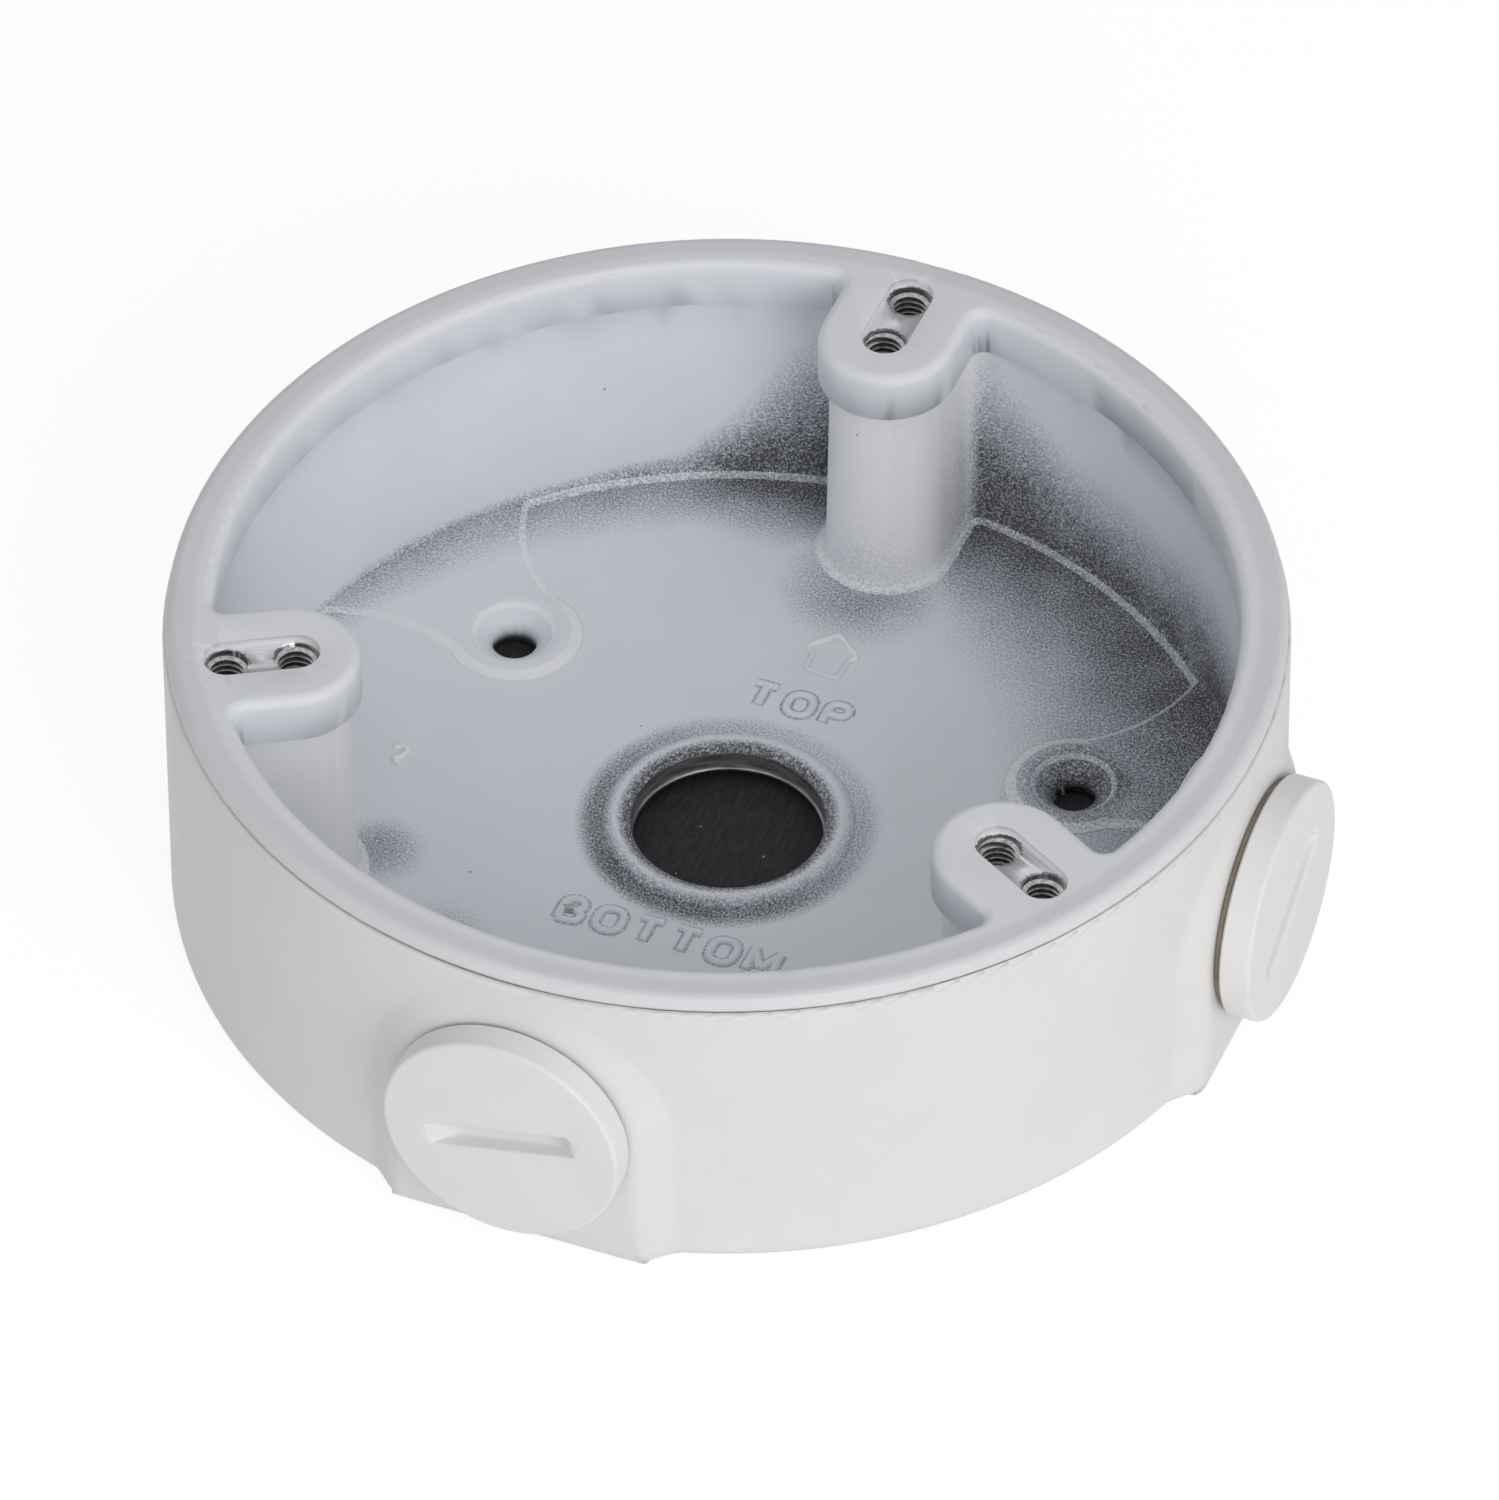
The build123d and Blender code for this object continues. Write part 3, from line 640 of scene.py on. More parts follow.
def closed_cell_foam(settings):
    """Die-cut black neoprene foam: fine pores, a faint pattern of the skin, and a few dust specks."""
    material, tree, place = new_material("black_neoprene_foam")
    # The skin's streaks are about 0.4 by 2 mm
    drawn = add(tree, VECTOR, (place, (2.6, 0.5, 1.0)), operation="MULTIPLY")
    weave = add(tree, NOISE, {"Vector": drawn, "Scale": 1.0, "Detail": 3.0})
    tone = add(tree, RAMP, (weave,), stops=[(0.35, tuple(settings.foam)), (0.75, linear("#313234"))])
    cells = add(tree, "ShaderNodeTexVoronoi", {"Vector": place, "Scale": 0.55}, out=None)
    pick = add(tree, "ShaderNodeSeparateColor", (cells["Color"],), out="Green")
    speck = add(tree, RANGE, {"Value": cells["Distance"], "From Min": 0.05, "From Max": 0.1, "To Min": 0.75,
                              "To Max": 0.0}, interpolation_type="SMOOTHSTEP")
    rare = add(tree, MATH, (pick, 0.8), operation="GREATER_THAN")
    speck = add(tree, MATH, (speck, rare), operation="MULTIPLY")
    tone = add(tree, MIX, {0: speck, 6: tone, 7: linear("#A9AAAC")}, out=2, data_type="RGBA")
    pores = add(tree, "ShaderNodeTexVoronoi", {"Vector": place, "Scale": 3.2})
    end_material(tree, Base_Color=tone, Roughness=0.85, IOR=1.5,
                 Normal=add(tree, "ShaderNodeBump", {"Height": pores, "Distance": 0.1 * MM}))
    return material


# Pieces

def casting_mesh():
    """The casting's own surface, merged, freed of needless edges and shaded smooth between its real ones."""
    shape = bmesh.new()
    shape.from_mesh(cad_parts["housing"].data)
    bmesh.ops.remove_doubles(shape, verts=shape.verts, dist=1e-6)
    flat = [edge for edge in shape.edges if all(abs(face.normal.z) > 0.999999 for face in edge.link_faces)]
    bmesh.ops.dissolve_limit(shape, angle_limit=math.radians(0.02), verts=[], edges=flat)
    mesh = bpy.data.meshes.new("housing_casting")
    shape.to_mesh(mesh)
    shape.free()
    soften(mesh, 38)
    helper = new_object("casting_helper", mesh)
    weighted = helper.modifiers.new("weighted", "WEIGHTED_NORMAL")
    weighted.keep_sharp = True
    weighted.weight = 100
    graph = bpy.context.evaluated_depsgraph_get()
    result = bpy.data.meshes.new_from_object(helper.evaluated_get(graph), depsgraph=graph)
    bpy.data.objects.remove(helper)
    result.name = "housing_casting"
    return result


def blend_mesh(flow):
    """A thin skin over each entry boss, which lets its flat face flow out into the round wall."""
    lift = 0.012 * MM                # the skin stands this far off the casting
    sunk = 0.3 * MM                  # its underside lies this far in
    hole = 11.8 * MM                 # its opening, under the plug's head
    edge = ENTRY_HALF + flow         # where it ends
    fade = 0.5 * MM                  # it dips into the wall over this width
    columns = 26
    foot_steps = 8

    def ease(t):
        t = min(max(t, 0.0), 1.0)
        return t * t * (3 - 2 * t)

    def drop(height, size):
        """How far a round of the given size at the base draws a face back at this height."""
        left = max(size - height - lift, 0.0)
        return size - math.sqrt(max(size * size - left * left, 0.0))

    def level(u, v):
        """Distance of the skin outside the boss face at a place across and above the base."""
        away = abs(u) if v < ENTRY_Z else math.hypot(u, v - ENTRY_Z)
        away -= ENTRY_HALF
        wall = math.sqrt((WALL_R - drop(v, BASE_ROUND)) ** 2 - u * u) - ENTRY_FACE
        face = -drop(v, ENTRY_ROUND)
        mixed = face + (wall - face) * ease((away + ENTRY_ROUND) / (edge - ENTRY_HALF + ENTRY_ROUND - fade))
        return mixed + lift - 2 * lift * ease((away + ENTRY_HALF - edge + fade) / fade)

    def ray(degrees):
        """Places (u, v) from the opening out to the edge of the skin, close together in the base round."""
        c, s = math.cos(math.radians(degrees)), math.sin(math.radians(degrees))
        far = edge
        if s < 0:
            far = min(edge / max(abs(c), 1e-9), ENTRY_Z / -s)
        bend = min((ENTRY_Z - BASE_ROUND) / -s, far) if s < 0 else far
        spots = [hole + (bend - hole) * k / columns for k in range(columns + 1)]
        lowest = ENTRY_Z + far * s
        turn = math.asin(min(max(1 - lowest / BASE_ROUND, 0.0), 1.0)) if s < 0 else 0.0
        for k in range(1, foot_steps + 1):
            v = BASE_ROUND * (1 - math.sin(turn * k / foot_steps))
            spots.append((v - ENTRY_Z) / s if turn else far + k * 1e-6)
        return [(r * c, ENTRY_Z + r * s) for r in spots]

    corner = math.degrees(math.atan2(ENTRY_Z, edge))
    turns = sorted({float(d) for d in range(0, 360, 2)} | {360 - corner, 180 + corner})

    def build(shape):
        for which in ENTRIES:
            matrix = entry_matrix(which)
            layers = []
            for down in (0.0, -sunk):
                layer = [[shape.verts.new(matrix @ Vector((u, v - ENTRY_Z, level(u, v) + down)))
                          for u, v in ray(degrees)] for degrees in turns]
                for first, second in zip(layer, layer[1:] + layer[:1]):
                    for k in range(len(first) - 1):
                        shape.faces.new((first[k], first[k + 1], second[k + 1], second[k]))
                layers.append(layer)
            upper, lower = layers
            for end in (0, -1):
                for i in range(len(turns)):
                    n = (i + 1) % len(turns)
                    shape.faces.new((upper[i][end], upper[n][end], lower[n][end], lower[i][end]))

    mesh = mesh_from("entry_boss_blends", build)
    soften(mesh, 50)
    return mesh


def thread_tree(material):
    """A helical thread ridge on each point, about the outward axis of its hole."""
    tree, given = geometry_tree("thread_ridges", [
        ("Helix Radius", NUMBER, 0.0024), ("Pitch", NUMBER, 0.0007), ("Turns", NUMBER, 10.0),
        ("Start Height", NUMBER, 0.0), ("Start Angle", NUMBER, 0.0), ("Depth", NUMBER, -0.0007),
        ("Base Half Width", NUMBER, 0.0004), ("Crest Half Width", NUMBER, 0.0001),
        ("Fade", NUMBER, 0.03), ("Segments", WHOLE, 32), ("Random Turn", NUMBER, 0.0),
        ("Seed", WHOLE, 1), ("Axis", TURNING, None)])
    rise = add(tree, MATH, (given["Pitch"], given["Turns"]), operation="MULTIPLY")
    helix = add(tree, "GeometryNodeCurveSpiral", {
        "Resolution": given["Segments"], "Rotations": given["Turns"], "Start Radius": given["Helix Radius"],
        "End Radius": given["Helix Radius"], "Height": rise, "Reverse": True})
    upright = add(tree, "GeometryNodeSetCurveNormal", {"Curve": helix}, mode="Z_UP")
    # The ridge fades in and out over its ends
    share = add(tree, "GeometryNodeSplineParameter", out="Factor")
    back_share = add(tree, MATH, (1.0, share), operation="SUBTRACT")
    to_end = add(tree, MATH, (share, back_share), operation="MINIMUM")
    fade = add(tree, MATH, (to_end, given["Fade"]), operation="DIVIDE", use_clamp=True)
    fade = add(tree, MATH, (fade, 0.02), operation="MAXIMUM")
    base, crest = given["Base Half Width"], given["Crest Half Width"]
    low = add(tree, MATH, (base, -1.0), operation="MULTIPLY")
    low_crest = add(tree, MATH, (crest, -1.0), operation="MULTIPLY")
    profile = add(tree, "GeometryNodeCurvePrimitiveQuadrilateral", {
        "Point 1": add(tree, COMBINE, (0.0, low)), "Point 2": add(tree, COMBINE, (0.0, base)),
        "Point 3": add(tree, COMBINE, (given["Depth"], crest)),
        "Point 4": add(tree, COMBINE, (given["Depth"], low_crest))}, mode="POINTS")
    swept = add(tree, "GeometryNodeCurveToMesh", {
        "Curve": upright, "Profile Curve": profile, "Scale": fade, "Fill Caps": True})
    placed = add(tree, "GeometryNodeTransform", {
        "Geometry": swept, "Translation": add(tree, COMBINE, {2: given["Start Height"]}),
        "Rotation": add(tree, COMBINE, {2: given["Start Angle"]})})
    on_points = add(tree, "GeometryNodeInstanceOnPoints", {
        "Points": given["Geometry"], "Instance": placed, "Rotation": given["Axis"]})
    chance = add(tree, "FunctionNodeRandomValue", {"Max": given["Random Turn"], "Seed": given["Seed"]}, out=1,
                 data_type="FLOAT")
    turned = add(tree, "GeometryNodeRotateInstances", {
        "Instances": on_points, "Rotation": add(tree, COMBINE, {2: chance}), "Local Space": True})
    end_tree(tree, turned, material)
    return tree


def pipe_thread(name, tree, which, start, phase, ridge):
    """A G 1/2 thread in an entry's frame, from a start height. Threads of one phase lie on one screw line."""
    matrix = entry_matrix(which)
    turned = (start + phase) / G_HALF_PITCH * 2 * math.pi
    mesh = grow(name, tree, {
        "Pitch": G_HALF_PITCH, "Start Height": start, "Start Angle": turned, "Fade": 0.09, "Segments": 96,
        "Random Turn": 0.0, "Axis": tuple(matrix.to_euler()), **ridge}, [matrix.translation])
    soften(mesh, 35)
    return mesh


def ring_tree(material):
    """A ring with rounded edges, for the rubber seals."""
    tree, given = geometry_tree("sealing_ring", [
        ("Middle Radius", NUMBER, 0.011), ("Width", NUMBER, 0.001), ("Thickness", NUMBER, 0.0007),
        ("Edge Round", NUMBER, 0.0001), ("Axis", TURNING, None)])
    path = add(tree, "GeometryNodeCurvePrimitiveCircle", {
        "Resolution": 128, "Radius": given["Middle Radius"]})
    box = add(tree, "GeometryNodeCurvePrimitiveQuadrilateral",
              {"Width": given["Width"], "Height": given["Thickness"]}, mode="RECTANGLE")
    soft = add(tree, "GeometryNodeFilletCurve", {
        "Curve": box, "Radius": given["Edge Round"], "Limit Radius": True, "Count": 4}, mode="POLY")
    swept = add(tree, "GeometryNodeCurveToMesh", {"Curve": path, "Profile Curve": soft})
    on_points = add(tree, "GeometryNodeInstanceOnPoints", {
        "Points": given["Geometry"], "Instance": swept, "Rotation": given["Axis"]})
    end_tree(tree, on_points, material)
    return tree


def stroke_tree(material):
    """Raised rounded strokes along edges, for the cast words and marks."""
    tree, given = geometry_tree("cast_strokes", [
        ("Half Width", NUMBER, 0.0005), ("Rise", NUMBER, 0.0003), ("Corner Radius", NUMBER, 0.0009)])
    path = add(tree, "GeometryNodeMeshToCurve", {"Mesh": given["Geometry"]})
    soft = add(tree, "GeometryNodeFilletCurve", {
        "Curve": path, "Radius": given["Corner Radius"], "Limit Radius": True, "Count": 8}, mode="POLY")
    upright = add(tree, "GeometryNodeSetCurveNormal", {"Curve": soft}, mode="Z_UP")
    circle = add(tree, "GeometryNodeCurvePrimitiveCircle", {"Resolution": 24, "Radius": 1.0})
    size = add(tree, COMBINE, (given["Half Width"], given["Rise"], 1.0))
    profile = add(tree, "GeometryNodeTransform", {"Geometry": circle, "Scale": size})
    swept = add(tree, "GeometryNodeCurveToMesh", {
        "Curve": upright, "Profile Curve": profile, "Fill Caps": True})
    end_tree(tree, swept, material)
    return tree


def plug_mesh(settings, which):
    """Head with its coin slot, shank and hollow inner end, in the entry's frame."""
    head_r = settings.head_radius
    head_t = settings.head_thickness
    edge = settings.edge_round
    shank_r = 9.25 * MM
    hollow_r = 8.0 * MM
    hollow_end = -1.0 * MM
    half_len = settings.slot_length / 2
    half_wide = settings.slot_width / 2
    depth = settings.slot_depth
    lip = 0.28 * MM                  # round of the slot's upper edge
    heel = 0.45 * MM                 # round between its sides and its floor
    corner = 0.55 * MM               # plan round of its ends
    margin = 0.9 * MM                # flat border that is meshed with it
    around = 180
    matrix = entry_matrix(which) @ Matrix.Translation((0, 0, SEALS[which]))
    spin = Matrix.Rotation(math.radians(SLOT_TURNS[which]), 4, "Z")

    def outline():
        points = []
        for i in range(9):
            a = math.radians(90 - 90 * i / 8)
            points.append((head_r - edge + edge * math.cos(a), head_t - edge + edge * math.sin(a)))
        points += [(head_r, 0.25 * MM), (head_r - 0.2 * MM, 0.03 * MM), (head_r - 0.4 * MM, 0.0)]
        points += [(shank_r + 0.1 * MM, 0.0), (shank_r, -0.1 * MM)]
        points += [(shank_r, SHANK_END + 0.7 * MM), (shank_r - 0.6 * MM, SHANK_END)]
        points += [(hollow_r + 0.15 * MM, SHANK_END), (hollow_r, SHANK_END + 0.15 * MM)]
        points += [(hollow_r - 0.1 * MM, hollow_end - 0.5 * MM), (hollow_r - 0.6 * MM, hollow_end)]
        return points

    def ramp_depth(u):
        """Depth of the slot's floor: 45 degree ends that turn softly into the face and the floor."""
        run = half_len - abs(u)
        if run <= 0:
            return 0.0
        top_soft = 0.45 * MM
        floor_soft = 0.5 * MM
        lifted = run - top_soft * (1 - math.exp(-run / top_soft)) * 0.5
        sunk = -floor_soft * math.log(math.exp(-lifted / floor_soft) + math.exp(-depth / floor_soft))
        return max(0.0, sunk + floor_soft * math.log(1 + math.exp(-depth / floor_soft)))

    def half_width(u):
        """Half the width of the slot, rounded off at its ends."""
        run = min(max(half_len - abs(u), 0.0), corner)
        return half_wide - corner + math.sqrt(corner ** 2 - (corner - run) ** 2)

    def cross_points(d, half):
        """Half of the slot's cross profile at depth d, from the middle outwards."""
        low = min(heel, d * 0.45)
        top = min(lip, d * 0.45)
        points = [(0.0, -d), ((half - heel) * 0.5, -d)]
        for i in range(6):
            a = math.radians(90 * i / 5)
            points.append((half - heel + heel * math.sin(a), -d + low * (1 - math.cos(a))))
        for i in range(6):
            a = math.radians(90 * i / 5)
            points.append((half + lip * (1 - math.cos(a)) + 1e-6 * i, -top * (1 - math.sin(a))))
        points.append((half_wide + margin, 0.0))
        return points

    def build(shape):
        rings = lathe(shape, matrix, outline(), around)
        shape.faces.new(rings[-1])
        stations = [half_len + margin]
        u = half_len
        while u > half_len - 3.2 * MM:
            stations.append(u)
            u -= 0.14 * MM
        stations += [half_len - 3.6 * MM, half_len * 0.25]
        stations = sorted({-s for s in stations} | set(stations))
        rows = []
        for u in stations:
            half = cross_points(ramp_depth(u), half_width(u))
            line = [(-v, w) for v, w in reversed(half[1:])] + half
            rows.append([shape.verts.new(matrix @ spin @ Vector((u, v, head_t + w))) for v, w in line])
        for first, second in zip(rows, rows[1:]):
            for k in range(len(first) - 1):
                shape.faces.new((first[k], second[k], second[k + 1], first[k + 1]))
        border = rows[0] + rows[-1] + [row[k] for row in rows[1:-1] for k in (0, -1)]
        zip_loops(shape, matrix.inverted(), rings[0], border)

    mesh = mesh_from(which + "_screw_plug", build)
    soften(mesh, 40)
    return mesh


def foam_mesh(settings):
    """A die-cut disc with slightly soft edges and a faint unevenness in its skin."""
    radius = settings.radius
    thick = settings.thickness
    soft = 0.2 * MM
    rings = 20

    def dent(point):
        return abs(0.06 * MM * noise.noise(Vector((point.x, point.y, 0.0)) * 90.0))

    def build(shape):
        inward = [radius * i / rings for i in range(rings - 1, 0, -1)]
        outline = [(r, 0.0) for r in reversed(inward)] + [(radius - soft, 0.0), (radius, soft)]
        outline += [(radius, thick - soft), (radius - soft, thick)] + [(r, thick) for r in inward]
        ring = lathe(shape, Matrix(), outline, 144)
        for row in ring[:rings - 1]:
            for vert in row:
                vert.co.z += dent(vert.co)
        for row in ring[1 - rings:]:
            for vert in row:
                vert.co.z -= dent(vert.co)
        shape.faces.new(ring[0])
        shape.faces.new(ring[-1])

    mesh = mesh_from("foam_sheet", build)
    soften(mesh, 50)
    return mesh


# Letters as strokes in a box one unit high: the width, then (points, closed)
LETTERS = {
    "B": (0.70, [([(0, 0), (0, 1), (0.66, 1), (0.66, 0.52), (0, 0.52)], False),
                 ([(0, 0.52), (0.70, 0.52), (0.70, 0), (0, 0)], False)]),
    "O": (0.82, [([(0, 0.5), (0, 1), (0.82, 1), (0.82, 0), (0, 0)], True)]),
    "T": (0.76, [([(0, 1), (0.76, 1)], False), ([(0.38, 1), (0.38, 0)], False)]),
    "M": (0.86, [([(0, 0), (0, 1)], False), ([(0, 1), (0.43, 0.2)], False),
                 ([(0.43, 0.2), (0.86, 1)], False), ([(0.86, 1), (0.86, 0)], False)]),
    "P": (0.70, [([(0, 0), (0, 1), (0.70, 1), (0.70, 0.45), (0, 0.45)], False)]),
}

# An arrow that points to the top, and a small figure, in millimetres
ARROW = ([(-1.05, 23.2), (-1.05, 25.7), (-2.3, 26.0), (0.3, 29.0), (3.3, 26.6), (2.6, 25.6), (2.5, 23.0)],
         True)
FIGURE = ([(-34.7, -2.3), (-33.9, -1.8), (-33.2, -2.3), (-33.6, -3.3), (-34.7, -4.2), (-33.0, -4.4)], False)

# Rings that the mould's ejector pins left: radius and degrees of each middle, and the ring's own radius
EJECTORS = ((45.0, 148.0), (44.4, 30.5), (45.0, 268.0))
EJECTOR_R = 2.85


def word_strokes(word, left, right, low, high):
    """Strokes of a word between two x places and two heights, in millimetres."""
    scale = high - low
    wide = sum(LETTERS[c][0] for c in word) * scale
    gap = (right - left - wide) / (len(word) - 1)
    strokes = []
    x = left
    for c in word:
        width, lines = LETTERS[c]
        for points, closed in lines:
            strokes.append(([(x + px * scale, low + py * scale) for px, py in points], closed))
        x += width * scale + gap
    return strokes


def stroke_mesh(name, tree, strokes, width, rise, corner):
    """Strokes on the floor as low rounded ridges of the given width and height."""
    points = []
    edges = []
    for line, closed in strokes:
        first = len(points)
        points += [Vector((x * MM, y * MM, FLOOR_Z)) for x, y in line]
        edges += [(first + k, first + k + 1) for k in range(len(line) - 1)]
        if closed:
            edges.append((len(points) - 1, first))
    mesh = grow(name, tree, {"Half Width": width / 2, "Rise": rise, "Corner Radius": corner}, points, edges)
    soften(mesh, 60)
    return mesh


# Operators

class JUNCTIONBOX_OT_casting(Operator):
    """Dress the die-cast housing in powder coat, with cut metal at its holes"""
    bl_idname = "junction_box.casting"
    bl_label = "Housing Casting"

    def execute(self, context):
        settings = context.scene.junction_casting
        coat = powder_coat(settings)
        piece("housing_casting", casting_mesh(), "box", coat, ("housing",))
        piece("entry_boss_blends", blend_mesh(settings.blend), "box", coat)
        return {"FINISHED"}


class JUNCTIONBOX_OT_marks(Operator):
    """Cast the words, the arrow and the mould marks into the floor of the box"""
    bl_idname = "junction_box.marks"
    bl_label = "Cast Marks"

    def execute(self, context):
        settings = context.scene.junction_marks
        coat = bpy.data.materials["powder_coated_die_casting"]
        tree = stroke_tree(coat)
        words = word_strokes("BOTTOM", -10.6, 11.9, -18.8, -15.7)
        words += word_strokes("TOP", -4.7, 5.4, 16.6, 19.6)
        circles = [([tuple((polar(*place) + polar(EJECTOR_R, 10 * k)).xy) for k in range(36)], True)
                   for place in EJECTORS]
        # Each with its strokes, their width and height, and the radius of their corners
        marks = {
            "cast_words": (words, settings.stroke, settings.height, 1.1 * MM),
            # The thin sheets under the words carry their painted edge shade
            "cast_word_shade_sheets": (words, settings.stroke + 0.55 * MM, WORD_SHADE_SHEET_HEIGHT, 1.1 * MM),
            "cast_arrow_and_figure": ([ARROW, FIGURE], 0.6 * MM, 0.3 * MM, 0.5 * MM),
            "ejector_rings": (circles, 0.32 * MM, 0.07 * MM, 0.0),
        }
        for name, made in marks.items():
            piece(name, stroke_mesh(name, tree, *made), "box", coat)
        return {"FINISHED"}


class JUNCTIONBOX_OT_threads(Operator):
    """Cut the M4 threads in the posts and the pipe threads in the entries"""
    bl_idname = "junction_box.threads"
    bl_label = "Threads"

    def execute(self, context):
        settings = context.scene.junction_threads
        metal = cut_aluminium(context.scene.junction_casting)
        tree = thread_tree(metal)
        pitch = settings.pitch
        turns = settings.turns
        points = [polar(r, a, SLOT_Z - 0.35 * MM - pitch * turns) for a in POST_ANGLES for r in TAPPED_RADII]
        mesh = grow("post_threads", tree, {
            "Pitch": pitch, "Turns": turns, "Seed": settings.taps, **TAPPED_RIDGE}, points)
        soften(mesh, 35)
        piece("post_threads", mesh, "box", metal)
        for which in ENTRIES:
            mesh = pipe_thread(which + "_entry_thread", tree, which, -6.94 * MM, ENTRY_PHASE, ENTRY_RIDGE)
            piece(which + "_entry_thread", mesh, "box", metal)
        return {"FINISHED"}


class JUNCTIONBOX_OT_plugs(Operator):
    """Mould the two screw plugs with their coin slots and pipe threads"""
    bl_idname = "junction_box.plugs"
    bl_label = "Screw Plugs"

    def execute(self, context):
        settings = context.scene.junction_plugs
        plastic = moulded_nylon(settings)
        tree = thread_tree(plastic)
        for which in ENTRIES:
            body = which + "_screw_plug"
            node = which + "_plug"
            piece(node + "_moulding", plug_mesh(settings, which), body, plastic, (node,))
            start = SHANK_END + SEALS[which] + 0.95 * MM
            mesh = pipe_thread(node + "_thread", tree, which, start, PLUG_PHASE, PLUG_RIDGE)
            piece(node + "_thread", mesh, body, plastic)
        return {"FINISHED"}


class JUNCTIONBOX_OT_seals(Operator):
    """Mould the rubber ring under the head of each plug"""
    bl_idname = "junction_box.seals"
    bl_label = "Sealing Rings"

    def execute(self, context):
        settings = context.scene.junction_seals
        rubber = moulded_rubber(settings)
        tree = ring_tree(rubber)
        for which, thick in SEALS.items():
            matrix = entry_matrix(which)
            mesh = grow(which + "_seal_ring", tree, {
                "Middle Radius": (settings.radius + SEAL_INNER_R) / 2,
                "Width": settings.radius - SEAL_INNER_R, "Thickness": thick - SEAL_PLAY,
                "Edge Round": thick * 0.3, "Axis": tuple(matrix.to_euler())},
                [matrix @ Vector((0, 0, thick / 2))])
            soften(mesh, 50)
            body = which + "_seal_ring"
            piece(which + "_rubber_ring", mesh, body, rubber, (which + "_seal",))
        return {"FINISHED"}


class JUNCTIONBOX_OT_foam(Operator):
    """Cut the foam pad that lies in the back of the box"""
    bl_idname = "junction_box.foam"
    bl_label = "Foam Pad"

    def execute(self, context):
        settings = context.scene.junction_foam
        foam = closed_cell_foam(settings)
        made = piece("foam_sheet", foam_mesh(settings), "box", foam, ("foam_pad",))
        return {"FINISHED"}


def seen_directly(tree):
    """One where the camera, a reflection or a refraction looks, and zero for light."""
    path = add(tree, "ShaderNodeLightPath", out=None)
    either = add(tree, MATH, (path["Is Glossy Ray"], path["Is Transmission Ray"]), operation="MAXIMUM")
    return add(tree, MATH, (path["Is Camera Ray"], either), operation="MAXIMUM")


def studio_floor(settings):
    """A pale floor, white to the camera, with a soft shadow under the box."""
    material = bpy.data.materials.new("pale_paper_floor")
    material.use_nodes = True
    tree = material.node_tree
    tree.nodes.clear()
    paper = add(tree, "ShaderNodeBsdfDiffuse", {"Color": tuple(settings.floor)})
    shaded = add(tree, "ShaderNodeBsdfDiffuse", {"Color": linear("#888888")})
    glow = add(tree, "ShaderNodeEmission", {"Color": (1, 1, 1, 1), "Strength": 0.84})
    white = add(tree, "ShaderNodeAddShader", (shaded, glow))
    both = add(tree, "ShaderNodeMixShader", (seen_directly(tree), paper, white))
    add(tree, "ShaderNodeOutputMaterial", {"Surface": both})
    reach = 1.6
    level = -0.0002
    corners = [(-reach, -reach, level), (reach, -reach, level), (reach, reach, level), (-reach, reach, level)]
    mesh = bpy.data.meshes.new("studio_floor")
    mesh.from_pydata(corners, [], [(0, 1, 2, 3)])
    mesh.materials.append(material)
    new_object("studio_floor", mesh)


def studio_light(scene):
    """A soft sky, brighter from the front right and cooler overhead, and one soft box on the same side."""
    world = bpy.data.worlds.new("soft_studio")
    scene.world = world
    world.use_nodes = True
    tree = world.node_tree
    tree.nodes.clear()
    direction = add(tree, "ShaderNodeTexCoord", out="Generated")
    height = add(tree, "ShaderNodeSeparateXYZ", (direction,), out="Z")
    front_right = Vector((math.sin(KEY_BEARING), -math.cos(KEY_BEARING), 0.0))
    towards = add(tree, VECTOR, (direction, front_right), out="Value", operation="DOT_PRODUCT")
    strength = add(tree, MATH, (towards, 0.3, 1.0), operation="MULTIPLY_ADD")
    sky = add(tree, RAMP, (height,), stops=[(0.0, (0.56, 0.555, 0.55)), (0.4, (0.53, 0.53, 0.535)),
                                            (1.0, (0.49, 0.50, 0.52))])
    light = add(tree, "ShaderNodeBackground", {"Color": sky, "Strength": strength})
    white = add(tree, "ShaderNodeBackground", {"Color": (1, 1, 1, 1), "Strength": 1.0})
    both = add(tree, "ShaderNodeMixShader", (seen_directly(tree), light, white))
    add(tree, "ShaderNodeOutputWorld", {"Surface": both})

    lamp = bpy.data.lights.new("key_softbox", "AREA")
    lamp.shape = "DISK"
    lamp.size = 0.8
    lamp.energy = 5.0
    lamp.color = (1.0, 0.995, 0.985)
    holder = new_object("key_softbox", lamp)
    away = 1.2
    holder.location = (front_right * math.cos(KEY_TILT) + Vector((0, 0, math.sin(KEY_TILT)))) * away
    aim = Vector((0, 0, 0.015)) - holder.location
    holder.rotation_euler = aim.to_track_quat("-Z", "Y").to_euler()


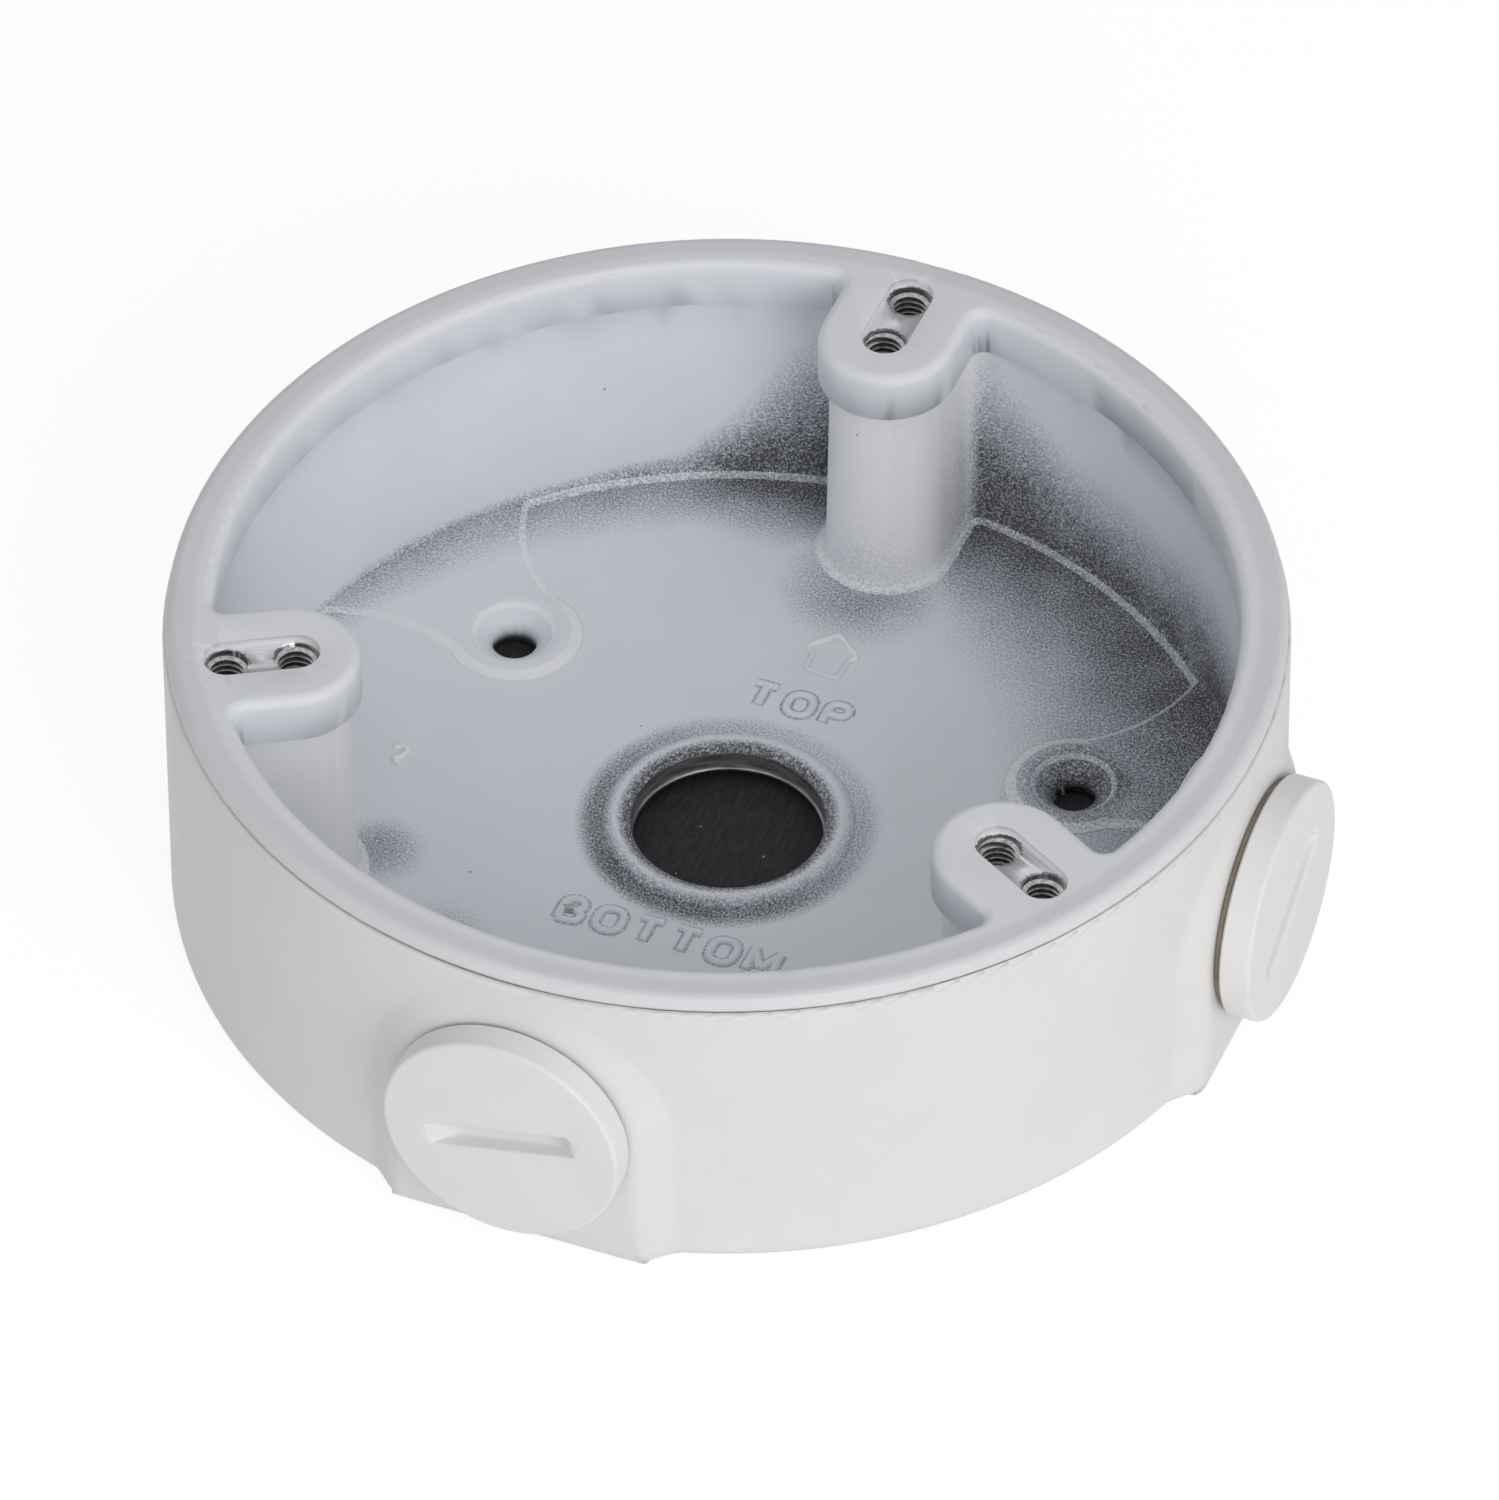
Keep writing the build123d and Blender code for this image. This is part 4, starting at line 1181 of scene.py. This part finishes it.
def photo_camera(scene, settings):
    """The camera, fitted to the photograph: a long lens that looks down from the front right."""
    lens = bpy.data.cameras.new("photo_camera")
    lens.sensor_width = 36.0
    lens.lens = lens.sensor_width * FOCAL_PIXELS / max(PHOTO_SIZE)
    lens.clip_end = 10.0
    camera = new_object("photo_camera", lens)
    scene.camera = camera
    elevation, azimuth, roll = settings.elevation, settings.azimuth, math.radians(-0.27)
    back = Vector((math.sin(azimuth) * math.cos(elevation), -math.cos(azimuth) * math.cos(elevation),
                   math.sin(elevation)))
    level = Vector((math.cos(azimuth), math.sin(azimuth), 0.0))
    upright = back.cross(level)
    right = level * math.cos(roll) + upright * math.sin(roll)
    up = upright * math.cos(roll) - level * math.sin(roll)
    metres_per_pixel = CAMERA_DISTANCE / FOCAL_PIXELS
    across, down = ((spot - size / 2) * metres_per_pixel for spot, size in zip(BOX_PIXEL, PHOTO_SIZE))
    matrix = Matrix((right, up, back)).transposed().to_4x4()
    matrix.translation = Vector((0, 0, BOX_MIDDLE_Z)) + back * CAMERA_DISTANCE - right * across + up * down
    camera.matrix_world = matrix


class JUNCTIONBOX_OT_stage(Operator):
    """Set the floor, the lights and the camera"""
    bl_idname = "junction_box.stage"
    bl_label = "Studio"

    def execute(self, context):
        scene = context.scene
        scene.view_settings.view_transform = "Standard"
        studio_floor(scene.junction_stage)
        studio_light(scene)
        photo_camera(scene, scene.junction_stage)
        return {"FINISHED"}


OPERATORS = (JUNCTIONBOX_OT_casting, JUNCTIONBOX_OT_marks, JUNCTIONBOX_OT_threads, JUNCTIONBOX_OT_plugs,
             JUNCTIONBOX_OT_seals, JUNCTIONBOX_OT_foam, JUNCTIONBOX_OT_stage)


class JUNCTIONBOX_PT_pieces(Panel):
    """Buttons for the pieces of the junction box"""
    bl_idname = "JUNCTIONBOX_PT_pieces"
    bl_label = "Junction Box"
    bl_space_type = "VIEW_3D"
    bl_region_type = "UI"
    bl_category = "Junction Box"

    def draw(self, context):
        for operator in OPERATORS:
            self.layout.operator(operator.bl_idname)
        for name in SETTINGS:
            group = getattr(context.scene, name)
            box = self.layout.box()
            for key in group.bl_rna.properties.keys():
                if key not in ("rna_type", "name"):
                    box.prop(group, key)


SETTINGS = {
    "junction_casting": CastingSettings,
    "junction_threads": ThreadSettings,
    "junction_plugs": PlugSettings,
    "junction_seals": SealSettings,
    "junction_foam": FoamSettings,
    "junction_marks": MarkSettings,
    "junction_stage": StageSettings,
}
CLASSES = tuple(SETTINGS.values()) + OPERATORS + (JUNCTIONBOX_PT_pieces,)


def register():
    for item in CLASSES:
        bpy.utils.register_class(item)
    for name, group in SETTINGS.items():
        setattr(bpy.types.Scene, name, PointerProperty(type=group))


def unregister():
    for name in SETTINGS:
        delattr(bpy.types.Scene, name)
    for item in reversed(CLASSES):
        bpy.utils.unregister_class(item)


def main():
    register()
    for operator in OPERATORS:
        group, name = operator.bl_idname.split(".")
        getattr(getattr(bpy.ops, group), name)()
    bpy.context.view_layer.update()


if __name__ == "__main__":
    main()
